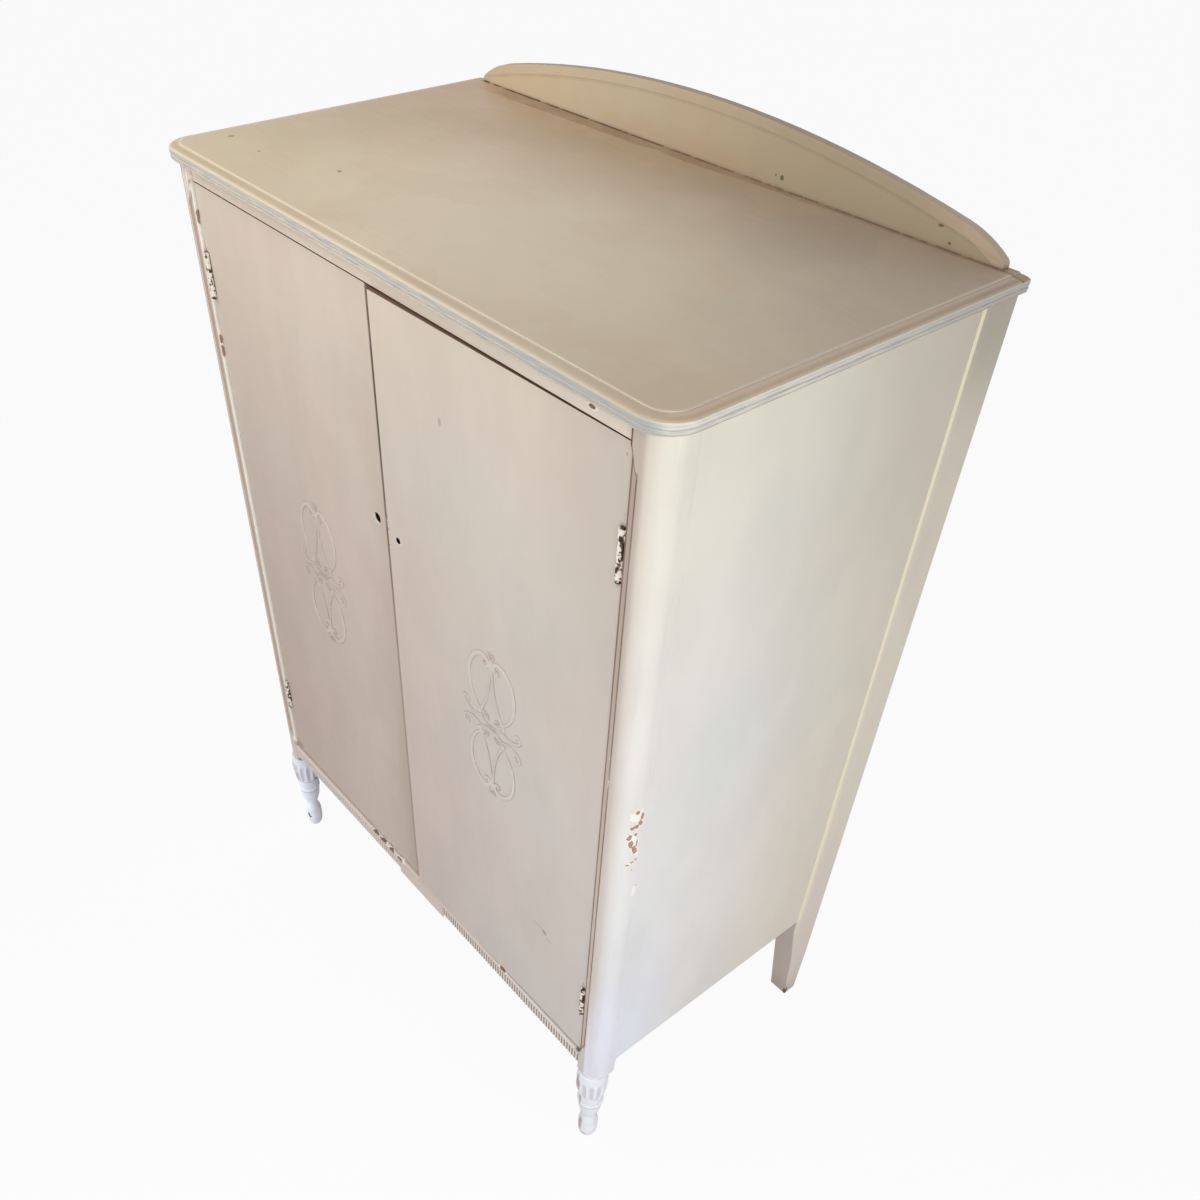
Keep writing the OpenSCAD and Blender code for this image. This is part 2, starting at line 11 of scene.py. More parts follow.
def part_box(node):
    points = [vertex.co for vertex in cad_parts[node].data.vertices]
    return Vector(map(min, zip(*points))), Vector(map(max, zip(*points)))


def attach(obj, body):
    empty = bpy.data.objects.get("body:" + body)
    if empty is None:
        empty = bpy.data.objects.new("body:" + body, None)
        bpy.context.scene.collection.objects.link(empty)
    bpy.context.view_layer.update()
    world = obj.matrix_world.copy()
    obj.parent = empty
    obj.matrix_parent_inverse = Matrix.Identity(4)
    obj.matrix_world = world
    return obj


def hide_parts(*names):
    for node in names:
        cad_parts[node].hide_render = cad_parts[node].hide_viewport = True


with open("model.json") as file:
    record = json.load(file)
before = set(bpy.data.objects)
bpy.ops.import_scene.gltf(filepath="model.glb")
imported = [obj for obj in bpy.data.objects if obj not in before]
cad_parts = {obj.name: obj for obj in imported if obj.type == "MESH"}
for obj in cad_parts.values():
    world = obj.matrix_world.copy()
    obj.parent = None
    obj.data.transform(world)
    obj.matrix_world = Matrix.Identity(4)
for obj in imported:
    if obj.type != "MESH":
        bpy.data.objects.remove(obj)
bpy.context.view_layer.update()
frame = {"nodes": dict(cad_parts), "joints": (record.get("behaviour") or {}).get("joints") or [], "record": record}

MM = 0.001
BODY_OF = {n: b for b, ns in frame["record"]["behaviour"]["bodies"].items() for n in ns}
SLOT_OF = {s["node"]: s["material_slot"] for s in frame["record"]["subparts"]}
JOINTS = {j["name"]: j for j in frame["joints"]}

# ---------------------------------------------------------------- places taken from the frame

slab_low, slab_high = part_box("top_slab")
gallery_low, gallery_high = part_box("gallery_board")
post_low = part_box("front_post_r")[0]
door_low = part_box("door_l")[0]
rail_low, rail_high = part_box("bottom_front_rail")
DOOR_FACE = door_low.y
foot_low, foot_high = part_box("front_foot_r")
FOOT_X = (foot_low.x + foot_high.x) / 2
FOOT_Y = (foot_low.y + foot_high.y) / 2
SLAB_CORNER = 0.042
ARCH = 1.97
PAINTED_HEIGHT = 1.33

# the sunk strip beside the post's inner edge
POST_INNER = rail_high.x
STRIP_OUTER = 0.4412
STRIP_LOW = 0.272
STRIP_HIGH = 1.286
TONGUE = 0.014

# knob holes as (across, height, radius) and the heights of the hinges, in mm
LEFT_KNOB_HOLE = (-35, 981, 7)
RIGHT_KNOB_HOLE = (23, 978, 4)
HINGE_HEIGHTS = (389, 1176)
AJAR = math.radians(-JOINTS["right_door_hinge"]["range_deg"][0])
RIGHT_HINGE = Vector(JOINTS["right_door_hinge"]["pos_m"])


# ---------------------------------------------------------------- colours

def srgb(r, g, b):
    """A colour written as it looks, as the linear values that a shader takes."""
    def line(c):
        c = c / 255
        return c / 12.92 if c <= 0.04045 else ((c + 0.055) / 1.055) ** 2.4
    return (line(r), line(g), line(b), 1.0)


# paint on each side, as (low first, low last, high first, high last) corners; the spread between corners is partly
# painted light and shade: the front darker low down, the top darker toward the back right, the sides darker at the
# back top under the slab
FRONT = (srgb(203, 185, 174), srgb(209, 201, 196), srgb(226, 208, 191), srgb(221, 210, 194))
SIDE = (srgb(227, 227, 228), srgb(217, 210, 197), srgb(229, 227, 212), srgb(198, 192, 177))
TOP = (srgb(205, 185, 150), srgb(212, 196, 170), srgb(200, 170, 136), srgb(177, 161, 141))
FEET = srgb(240, 240, 248)
CREAM = srgb(236, 222, 208)
# a dirt tone, which also serves as the colour of painted shade in corners and grooves
GRIME_AND_SHADE = srgb(116, 92, 80)
# dark dirt, which also serves as the colour of painted shade in the hinges' crevices
DARK_GRIME_AND_SHADE = srgb(62, 44, 34)
RIM_DIRT = srgb(160, 132, 104)
BARE = srgb(206, 166, 148)
BARE_DARK = srgb(134, 98, 78)
UNDERCOAT = srgb(244, 236, 222)
OLD_BLUE = srgb(156, 169, 184)
# dirt with painted shade, for the walls of the right post's strip
WALL_DIRT_AND_SHADE = srgb(124, 98, 84)
FLAKE_WHITE = srgb(246, 245, 238)

# where the undercoat shows on the right post, as (centre, half sizes) in mm
FLAKES = [((471, -229, 821), (6, 7, 9)), ((471, -230, 777), (5, 6, 10)), ((471.5, -227, 752), (4, 4, 6)),
          ((472, -223, 675), (3, 3, 9)), ((470, -234, 736), (4, 6, 2)), ((440, -254.5, 870), (2, 4, 10)),
          ((437, -254.5, 905), (1.6, 4, 6))]


# ---------------------------------------------------------------- material building

class Graph:
    """Builds one material's nodes, with short calls for the usual ones."""

    def __init__(self, name, roughness=0.5):
        self.material = bpy.data.materials.new(name)
        self.material.use_nodes = True
        self.tree = self.material.node_tree
        self.tree.nodes.clear()
        self.shader = self.node("ShaderNodeBsdfPrincipled")
        self.shader.inputs["Roughness"].default_value = roughness
        output = self.node("ShaderNodeOutputMaterial")
        self.tree.links.new(self.shader.outputs[0], output.inputs[0])
        coords = self.node("ShaderNodeTexCoord")
        self.place = coords.outputs["Object"]
        self.normal = coords.outputs["Normal"]
        split = self.node("ShaderNodeSeparateXYZ", Vector=self.place)
        self.x, self.y, self.z = split.outputs

    def node(self, kind, settings=None, **inputs):
        """Adds a node; each input is a number, a colour or another node's output."""
        made = self.tree.nodes.new(kind)
        for key, value in (settings or {}).items():
            setattr(made, key, value)
        for key, value in inputs.items():
            self.feed(made.inputs[key.replace("_", " ")], value)
        return made

    def feed(self, socket, value):
        if isinstance(value, bpy.types.NodeSocket):
            self.tree.links.new(value, socket)
        else:
            socket.default_value = value

    def math(self, operation, a, b=0.0):
        made = self.node("ShaderNodeMath", {"operation": operation})
        self.feed(made.inputs[0], a)
        self.feed(made.inputs[1], b)
        return made.outputs[0]

    def vector(self, operation, a, b=(0, 0, 0)):
        made = self.node("ShaderNodeVectorMath", {"operation": operation})
        self.feed(made.inputs[0], a)
        self.feed(made.inputs[1], b)
        return made.outputs["Value" if operation in ("LENGTH", "DOT_PRODUCT") else "Vector"]

    def span(self, value, low, high, to_low=0.0, to_high=1.0):
        """Eases from to_low to to_high as value goes from low to high."""
        made = self.node("ShaderNodeMapRange", {"interpolation_type": "SMOOTHSTEP"})
        for socket, number in zip(made.inputs, (value, low, high, to_low, to_high)):
            self.feed(socket, number)
        return made.outputs[0]

    def mix(self, share, a, b, blend="MIX"):
        made = self.node("ShaderNodeMix", {"data_type": "RGBA", "blend_type": blend})
        self.feed(made.inputs[0], share)
        self.feed(made.inputs[6], a)
        self.feed(made.inputs[7], b)
        return made.outputs[2]

    def stretched(self, scale):
        """Object coordinates with a scale of its own along each axis."""
        return self.vector("MULTIPLY", self.place, scale)

    def noise(self, vector, scale, detail=3.0, roughness=0.5, distortion=0.0):
        made = self.node("ShaderNodeTexNoise", Vector=vector, Scale=scale, Detail=detail,
                         Roughness=roughness, Distortion=distortion)
        return made.outputs["Fac"]

    def colour(self, value):
        self.feed(self.shader.inputs["Base Color"], value)

    def bump(self, height, distance, strength=1.0):
        made = self.node("ShaderNodeBump", Height=height, Distance=distance, Strength=strength)
        self.feed(self.shader.inputs["Normal"], made.outputs[0])

    def corners(self, across, up, tones):
        """Blends four corner tones over a face."""
        low = self.mix(across, tones[0], tones[1])
        high = self.mix(across, tones[2], tones[3])
        return self.mix(up, low, high)

    def near(self, spots, ragged=0.35, grain=260.0):
        """Distance from the nearest spot, 1 at its ragged rim. A spot is (centre, half sizes) in mm."""
        reach = None
        for centre, size in spots:
            offset = self.vector("SUBTRACT", self.place, tuple(c * MM for c in centre))
            scaled = self.vector("MULTIPLY", offset, tuple(1 / (s * MM) for s in size))
            away = self.vector("LENGTH", scaled)
            reach = away if reach is None else self.math("MINIMUM", reach, away)
        wobble = self.math("MULTIPLY", self.math("SUBTRACT", self.noise(self.place, grain, 4.0), 0.5),
                           ragged * 4)
        return self.math("ADD", reach, wobble)

    def off(self, value, level):
        """How far a value is from a level, either way."""
        return self.math("ABSOLUTE", self.math("SUBTRACT", value, level))

    def both(self, *masks):
        """Where all the masks hold."""
        total = masks[0]
        for mask in masks[1:]:
            total = self.math("MULTIPLY", total, mask)
        return total


def paint_and_light_tone(g, up_tone=None):
    """The paint's tone with painted light: pinkish in front, creamier at the sides, with slow drifts."""
    # partly painted light: lighter high up, darker low down
    height = g.math("POWER", g.math("MULTIPLY", g.z, 1 / PAINTED_HEIGHT), 3.0)
    front = g.corners(g.span(g.x, -0.42, 0.46), height, FRONT)
    side = g.corners(g.span(g.y, -0.2, 0.2), height, SIDE)
    facing = g.node("ShaderNodeSeparateXYZ", Vector=g.normal)
    # painted cool light on the lower sides, which turn bluish
    bluish = g.both(g.span(g.z, 0.62, 0.3), g.span(g.y, -0.06, -0.22))
    side = g.mix(bluish, side, srgb(228, 231, 241))
    # partly painted light: front and sides take different tones by the way a face turns
    tone = g.mix(g.span(g.math("ABSOLUTE", facing.outputs[0]), 0.15, 0.85), front, side)
    # partly painted light: what faces up takes a tone of its own
    if up_tone:
        tone = g.mix(g.span(facing.outputs[2], 0.4, 0.9), tone, up_tone)
    return tone


def mottle(g, tone):
    """Slow drifts of warmth and lightness over a tone."""
    drift = g.noise(g.place, 3.1, 2.0)
    warm = g.mix(1.0, tone, (1.02, 0.99, 0.98, 1), "MULTIPLY")
    cool = g.mix(1.0, tone, (0.98, 1.0, 1.0, 1), "MULTIPLY")
    tone = g.mix(g.span(drift, 0.35, 0.65), warm, cool)
    cloud = g.span(g.noise(g.stretched((1.0, 1.0, 0.45)), 14.0, 4.0), 0.3, 0.7, 0.965, 1.02)
    grey = g.node("ShaderNodeCombineXYZ", X=cloud, Y=cloud, Z=cloud).outputs[0]
    return g.mix(1.0, tone, grey, "MULTIPLY")


def crevice_dirt_and_shade(g, tone, strength=0.62, reach=0.006, dirt=GRIME_AND_SHADE):
    """Dirt that gathers in corners and grooves, with painted shade: darker where ambient occlusion finds the
    surface closed in.
    """
    shade = g.node("ShaderNodeAmbientOcclusion", {"samples": 8}, Distance=reach)
    # painted shade with dirt, strongest where the occlusion is deepest
    depth = g.span(shade.outputs["AO"], 0.8, 0.2, 0.0, strength)
    patchy = g.span(g.noise(g.place, 34.0, 3.0), 0.25, 0.7, 0.6, 1.0)
    return g.mix(g.both(depth, patchy), tone, dirt)


def rub(g, tone):
    """Corners rubbed pale, and here and there down to the wood."""
    pale = g.span(g.noise(g.place, 60.0, 4.0), 0.45, 0.6, 0.0, 0.55)
    tone = g.mix(pale, tone, UNDERCOAT)
    through = g.span(g.noise(g.place, 45.0, 5.0, 0.6), 0.68, 0.71)
    return g.mix(through, tone, BARE)


def chip(g, tone, spots, ragged=0.5, grain=190.0, wood=BARE, rim=True):
    """Flaked spots down to the wood, with a thin pale rim of undercoat. Gives tone and depth."""
    reach = g.near(spots, ragged, grain)
    inside = g.span(reach, 1.04, 0.97)
    if rim:
        tone = g.mix(g.span(reach, 1.5, 1.3, 0.0, 0.85), tone, FLAKE_WHITE)
    fibre = g.noise(g.stretched((300.0, 300.0, 30.0)), 3.0, 3.0)
    return g.mix(inside, tone, g.mix(fibre, wood, BARE_DARK)), inside


def stain(g, tone, spots, dirt=GRIME_AND_SHADE, strength=0.5, ragged=0.5, grain=70.0, soft=0.5):
    """Soft patches of dirt, or of another tone, round the spots; some calls use it for painted light, painted
    highlights and painted shadow.
    """
    reach = g.near(spots, ragged, grain)
    return g.mix(g.span(reach, 1.0 + soft, 1.0 - soft, 0.0, strength), tone, dirt)


def brushed(g, tone, grain="z", chips=None, roughness=0.46):
    """Finishes a paint: brush marks, sheen and chip edges."""
    along = {"z": (55.0, 55.0, 2.2), "x": (2.2, 55.0, 55.0)}[grain]
    strokes = g.noise(g.stretched(along), 6.0, 4.0, 0.55)
    relief = g.math("MULTIPLY", strokes, 0.35)
    relief = g.math("ADD", relief, g.math("MULTIPLY", g.noise(g.place, 420.0, 2.0), 0.2))
    if chips is not None:
        relief = g.math("SUBTRACT", relief, chips)
    g.colour(tone)
    g.feed(g.shader.inputs["Roughness"], g.span(strokes, 0.3, 0.7, roughness - 0.04, roughness + 0.08))
    g.bump(relief, 0.00025, 0.5)
    return g.material


def plain_paint(name, up_tone, rubbed=False):
    """The case's paint, with a tone of its own on what faces up, partly painted light."""
    g = Graph(name)
    base = crevice_dirt_and_shade(g, mottle(g, paint_and_light_tone(g, up_tone)))
    if rubbed:
        base = rub(g, base)
    return brushed(g, base)


def door_paint(name, left, knob, chips, stains, hinge_x, thin=()):
    """Paint of one door, with dirt and a painted shadow where the doors meet, dirt round the hinges, and painted
    shade in the knob hole with painted highlights on its lit wall and rim.
    """
    g = Graph(name)
    # painted shade: what faces up on a door, mostly the top edges under the rail, turns dark brown
    base = crevice_dirt_and_shade(g, mottle(g, paint_and_light_tone(g, srgb(112, 86, 68))))
    shaded = g.both(g.span(g.x, 0.24, 0.425), g.span(g.z, 0.72, 1.25))
    base = g.mix(shaded, base, g.mix(1.0, base, (0.84, 0.84, 0.85, 1), "MULTIPLY"))
    if left:
        base = stain(g, base, [((5, -248, 500), (75, 30, 700))], srgb(150, 116, 92), 0.2, 0.3, 12.0, 0.7)
        # painted shadow of the proud right door: a broken dark line along the left door's meeting edge, darkest
        # high up, with a soft brown band below
        uneven = g.span(g.noise(g.stretched((1.0, 1.0, 0.3)), 90.0, 3.0), 0.2, 0.5, 0.7, 1.0)
        away = g.math("ABSOLUTE", g.x)
        line = g.both(g.span(away, 0.0165, 0.0138), uneven, g.span(g.z, 0.5, 1.1, 0.62, 0.95))
        line_tone = g.mix(g.span(g.z, 0.7, 1.15), srgb(142, 120, 104), srgb(84, 62, 50))
        base = g.mix(line, base, line_tone)
        low = g.both(g.span(away, 0.05, 0.012), g.span(g.z, 0.95, 0.35, 0.0, 0.35))
        base = g.mix(low, base, srgb(166, 144, 126))
    rims = [((hinge_x, -250, z), (5, 9, 36)) for z in HINGE_HEIGHTS]
    base = stain(g, base, rims, GRIME_AND_SHADE, 0.55, 0.35, 120.0, 0.3)
    base = stain(g, base, stains, GRIME_AND_SHADE, 0.4)
    knob_x, knob_z, radius = (size * MM for size in knob)
    across = g.math("SUBTRACT", g.x, knob_x)
    above = g.math("SUBTRACT", g.z, knob_z)
    squares = g.math("ADD", g.math("MULTIPLY", across, across), g.math("MULTIPLY", above, above))
    ring = g.math("SQRT", squares)
    inside = g.span(ring, radius + 0.0009, radius + 0.0005)
    beneath = g.math("ADD", across, above) if left else above
    # painted shade inside the knob hole; on the left door a painted highlight on the lit part of its wall
    if left:
        lit = g.both(g.span(beneath, -0.2 * radius, -0.7 * radius),
                     g.span(g.y, DOOR_FACE + 0.3 * radius, DOOR_FACE + 0.15 * radius))
        behind = g.span(g.y, DOOR_FACE - 0.0055, DOOR_FACE + 0.001)
        base = g.mix(g.both(inside, behind), base, g.mix(lit, srgb(34, 24, 20), srgb(250, 240, 226)))
    else:
        base = g.mix(inside, base, srgb(20, 14, 12))
    # painted highlight: a pale crescent on the hole's rim
    rim = g.both(g.span(ring, radius + 0.0024, radius + 0.0016), g.span(beneath, 0.1 * radius, -0.8 * radius))
    base = g.mix(rim, base, g.mix(inside, UNDERCOAT, base))
    if thin:
        base = stain(g, base, thin, DARK_GRIME_AND_SHADE, 0.45, 0.2, 200.0, 0.3)
    base, depth = chip(g, base, chips)
    return brushed(g, base, "z", depth)


def post_paint(name, side, cream, strip_tone, inner_tone, outer_tone, chips, marks=()):
    """Paint of a front post: the sunk strip has a tone of its own, and so have its walls, which carry painted
    highlight on the left post and dirt with painted shade on the right.
    """
    g = Graph(name)
    base = crevice_dirt_and_shade(g, mottle(g, g.mix(cream, paint_and_light_tone(g), CREAM)), 0.4)
    out = g.math("MULTIPLY", g.x, side)
    in_front = g.span(g.y, -0.235, -0.24)
    beside_strip = g.both(g.span(g.z, 0.262, 0.27), g.span(g.z, 1.289, 1.281), in_front)
    in_strip = g.both(g.span(out, 0.4418, 0.4408), g.span(g.y, -0.2522, -0.2514), beside_strip)
    base = g.mix(g.math("MULTIPLY", in_strip, 0.85), base, strip_tone)
    uneven = g.span(g.noise(g.stretched((1.0, 1.0, 0.25)), 60.0, 4.0), 0.25, 0.55, 0.7, 1.0)
    if side < 0:
        # painted shade on the left post's round, turned from the light
        rounded = g.span(out, 0.4452, 0.4475)
        base = g.mix(g.math("MULTIPLY", rounded, 0.7), base, srgb(198, 174, 160))
        # painted highlight along the left post's arris
        arris = g.span(g.off(out, 0.4435), 0.002, 0.001)
        base = g.mix(g.both(arris, uneven, 0.85), base, srgb(250, 240, 222))
        # painted highlight on the left post's inner wall, which faces the light, up to its top
        inner_wall = g.span(out, 0.4358, 0.4346)
        base = stain(g, base, [((-433, -252, 1296), (3.2, 5, 20))], srgb(254, 247, 232), 0.85, 0.2, 90.0, 0.3)
    else:
        inner_wall = g.span(g.off(out, POST_INNER), 0.003, 0.0012)
        base = g.mix(g.both(in_strip, g.span(g.z, 0.46, 0.3), 0.6), base, srgb(206, 180, 156))
        # painted cool light: the lower right post turns lilac
        lilac = g.both(g.span(g.z, 0.5, 0.24), g.span(g.x, 0.4425, 0.446))
        base = g.mix(lilac, base, srgb(230, 230, 243))
        beside = g.both(g.span(out, 0.453, 0.445), g.span(g.z, 0.5, 1.25), g.span(g.y, -0.24, -0.248))
        base = g.mix(beside, base, g.mix(1.0, base, (0.74, 0.73, 0.72, 1), "MULTIPLY"))
        # painted highlight along the bottom arris of the right post
        arris = g.both(g.span(g.z, post_low.z + 0.0045, post_low.z + 0.0015), g.span(out, 0.436, 0.444))
        base = g.mix(arris, base, srgb(252, 252, 255))
    outer_wall = g.span(g.off(out, STRIP_OUTER), 0.0026, 0.0008)
    inner_top = 1.3 if side < 0 else 1.332
    below_top = g.span(g.z, inner_top + 0.003, inner_top - 0.005)
    inner_zone = g.both(g.span(g.z, 0.258, 0.264), below_top, in_front)
    outer_zone = g.both(g.span(g.z, 0.280, 0.290), g.span(g.z, 1.278, 1.268), in_front)
    # the walls' tones: painted highlight on the left post, dirt with painted shade on the right
    base = g.mix(g.both(inner_wall, uneven, inner_zone), base, inner_tone)
    base = g.mix(g.both(outer_wall, uneven, outer_zone), base, outer_tone)
    # the curved ends of the strip
    half_turn = math.pi / (STRIP_OUTER - POST_INNER)
    across = g.math("MULTIPLY", g.math("SUBTRACT", out, POST_INNER), half_turn)
    swing = g.math("MULTIPLY", g.math("COSINE", across), TONGUE)
    on_strip = g.both(g.span(out, 0.4303, 0.431), g.span(out, 0.442, 0.441), in_front)
    for end, sign in ((STRIP_HIGH, 1), (STRIP_LOW, -1)):
        away = g.off(g.math("SUBTRACT", g.z, end), g.math("MULTIPLY", swing, sign))
        curl = g.span(away, 0.0032, 0.0012)
        base = g.mix(g.both(curl, on_strip, 0.9), base, outer_tone)
    if marks:
        base = stain(g, base, marks, srgb(110, 66, 48), 0.75, 0.3, 150.0, 0.4)
    round_face = g.span(out, 0.444, 0.45)
    greyer = g.span(g.noise(g.stretched((70.0, 70.0, 7.0)), 1.0, 4.0), 0.5, 0.7)
    base = g.mix(g.both(round_face, greyer, 0.3), base, srgb(214, 208, 206))
    if side > 0:
        base = stain(g, base, FLAKES, FLAKE_WHITE, 0.85, 0.8, 120.0, 0.15)
    streak = g.span(g.noise(g.stretched((160.0, 160.0, 1.4)), 1.0, 3.0), 0.6, 0.72, 0.0, 0.35)
    streak = g.both(streak, g.span(out, 0.446, 0.452))
    base = g.mix(streak, base, (0.9, 0.9, 0.92, 1))
    base, depth = chip(g, base, chips)
    return brushed(g, base, "z", depth)


def top_paint(name):
    """Paint of the moulded top: a browner rim, partly painted shade, bluish grooves, a pale arris as painted
    highlight, dirt at the back, and painted light over field and band.
    """
    g = Graph(name)
    # painted light: the top darker toward the back right
    base = g.corners(g.span(g.x, -0.45, 0.45), g.span(g.y, -0.25, 0.25), TOP)
    base = mottle(g, base)
    # painted pool of light on the middle front
    base = stain(g, base, [((60, -100, 1340), (330, 190, 60))], srgb(236, 219, 190), 0.7, 0.3, 5.0, 0.8)
    patch = g.span(g.noise(g.place, 6.0, 4.0, 0.55), 0.52, 0.56, 0.0, 0.18)
    base = g.mix(patch, base, srgb(214, 184, 152))
    facing = g.node("ShaderNodeSeparateXYZ", Vector=g.normal)
    level = g.span(facing.outputs[2], 0.5, 0.9)
    # distance in from the outer edge, the same round the corners
    side_x = g.math("ABSOLUTE", g.x)
    front_y = g.math("MULTIPLY", g.y, -1)
    beyond_x = g.math("MAXIMUM", g.math("SUBTRACT", side_x, slab_high.x - SLAB_CORNER), 0.0)
    beyond_y = g.math("MAXIMUM", g.math("SUBTRACT", front_y, -slab_low.y - SLAB_CORNER), 0.0)
    beyond = g.node("ShaderNodeCombineXYZ", X=beyond_x, Y=beyond_y).outputs[0]
    inward = g.math("SUBTRACT", SLAB_CORNER, g.vector("LENGTH", beyond))
    sideways = g.span(g.math("SUBTRACT", beyond_x, beyond_y), -0.012, 0.012)
    rightward = g.span(g.x, 0.05, 0.4)
    # the field's rounded edge catches the light
    bump = g.both(g.span(inward, 0.0122, 0.0142), g.span(inward, 0.0174, 0.0152))
    bump_share = g.mix(sideways, g.span(g.x, -0.3, 0.4, 0.55, 0.3), (0.75, 0.75, 0.75, 1))
    base = g.mix(g.both(bump, bump_share), base, g.mix(sideways, srgb(236, 220, 194), srgb(226, 208, 194)))
    # dirtier rim, partly painted shade, with a pale arris that is painted highlight
    rim_dirt_and_shade = g.both(g.span(inward, 0.0128, 0.0095), g.span(inward, 0.0015, 0.0055))
    front_rim_dirt_and_shade = g.both(rim_dirt_and_shade, g.span(sideways, 0.6, 0.2), g.span(rightward, 0.0, 1.0, 1.0, 0.3))
    base = g.mix(front_rim_dirt_and_shade, base, g.mix(1.0, base, (0.86, 0.84, 0.82, 1), "MULTIPLY"))
    # painted light on the sides' rim near the field's edge
    near_bump = g.both(g.span(inward, 0.006, 0.0125), g.span(inward, 0.014, 0.0125), sideways)
    base = g.mix(g.math("MULTIPLY", near_bump, 0.45), base, srgb(226, 208, 194))
    pinker = g.both(g.span(inward, 0.0128, 0.011), g.span(inward, 0.002, 0.004), sideways, 0.6)
    base = g.mix(pinker, base, g.mix(1.0, base, (1.07, 0.97, 0.95, 1), "MULTIPLY"))
    # painted shade on the sides' rim toward the outer arris
    dark_side = g.both(g.span(inward, 0.0085, 0.005), g.span(inward, 0.001, 0.003), sideways)
    base = g.mix(dark_side, base, g.mix(1.0, base, (0.9, 0.89, 0.88, 1), "MULTIPLY"))
    arris = g.both(g.span(inward, 0.0038, 0.001), g.span(rightward, 0.0, 1.0, 0.55, 0.35))
    base = g.mix(arris, base, srgb(234, 218, 194))
    # band, with streaks of the old blue in its grooves; its tones by facing and its darkening to the right and
    # back are painted light, its paler upper edge a painted highlight
    front_band = g.mix(g.span(g.x, 0.0, 0.42), srgb(217, 204, 187), srgb(190, 185, 176))
    side_band = g.mix(g.span(g.y, -0.2, 0.25), srgb(227, 224, 213), srgb(188, 183, 167))
    band = g.mix(g.span(g.math("ABSOLUTE", facing.outputs[0]), 0.3, 0.75), front_band, side_band)
    band = g.mix(g.span(g.z, 1.3335, 1.3365, 0.0, 0.4), band, srgb(232, 216, 192))
    base = g.mix(g.span(facing.outputs[2], 0.65, 0.45), base, band)
    streaky = g.span(g.noise(g.stretched((0.08, 0.08, 1.6)), 420.0, 4.0), 0.4, 0.6, 0.1, 1.0)
    upright = g.span(facing.outputs[2], 0.7, 0.4)
    blue_zone = g.both(g.span(g.z, 1.335, 1.332), g.span(g.z, 1.3235, 1.3255), streaky, upright, 0.45)
    base = g.mix(g.both(blue_zone, g.span(sideways, 0.9, 0.0, 0.6, 1.0)), base, OLD_BLUE)
    for height, half in ((1333.6, 1.1), (1329.6, 1.7), (1327.2, 0.8), (1325.0, 1.3)):
        groove = g.span(g.off(g.z, height * MM), half * MM, half * MM * 0.3)
        fading = g.both(g.span(g.x, -0.45, -0.1, 0.4, 0.75), g.span(g.x, 0.34, 0.45, 1.0, 0.75))
        base = g.mix(g.both(groove, streaky, upright, fading), base, OLD_BLUE)
    # dirt in front of the gallery
    ragged = g.math("MULTIPLY", g.math("SUBTRACT", g.noise(g.place, 11.0, 5.0), 0.5), 0.03)
    start = g.span(g.x, -0.4, 0.35, 0.222, 0.244)
    smear = g.span(g.math("SUBTRACT", g.math("ADD", g.y, ragged), start), -0.001, 0.002)
    blotchy = g.span(g.noise(g.place, 26.0, 4.0), 0.3, 0.6, 0.45, 0.85)
    smear = g.both(smear, g.span(g.x, -0.46, -0.34), level, blotchy)
    base = g.mix(smear, base, RIM_DIRT)
    broken = g.span(g.noise(g.stretched((1.0, 0.2, 0.2)), 75.0, 4.0), 0.38, 0.5, 0.25, 1.0)
    line = g.both(g.span(g.y, 0.2494, 0.2506), g.span(g.y, 0.2535, 0.252), broken, level)
    base = g.mix(g.math("MULTIPLY", line, g.span(g.x, -0.2, 0.1, 0.95, 0.6)), base, DARK_GRIME_AND_SHADE)
    base = stain(g, base, [((-231, -141, 1340), (4, 3, 4)), ((-436, -181, 1340), (4, 4, 4)),
                           ((-359, -182, 1340), (3, 2, 4))], DARK_GRIME_AND_SHADE, 0.6, 0.25, 200.0, 0.3)
    return brushed(g, base, "x", None, 0.42)


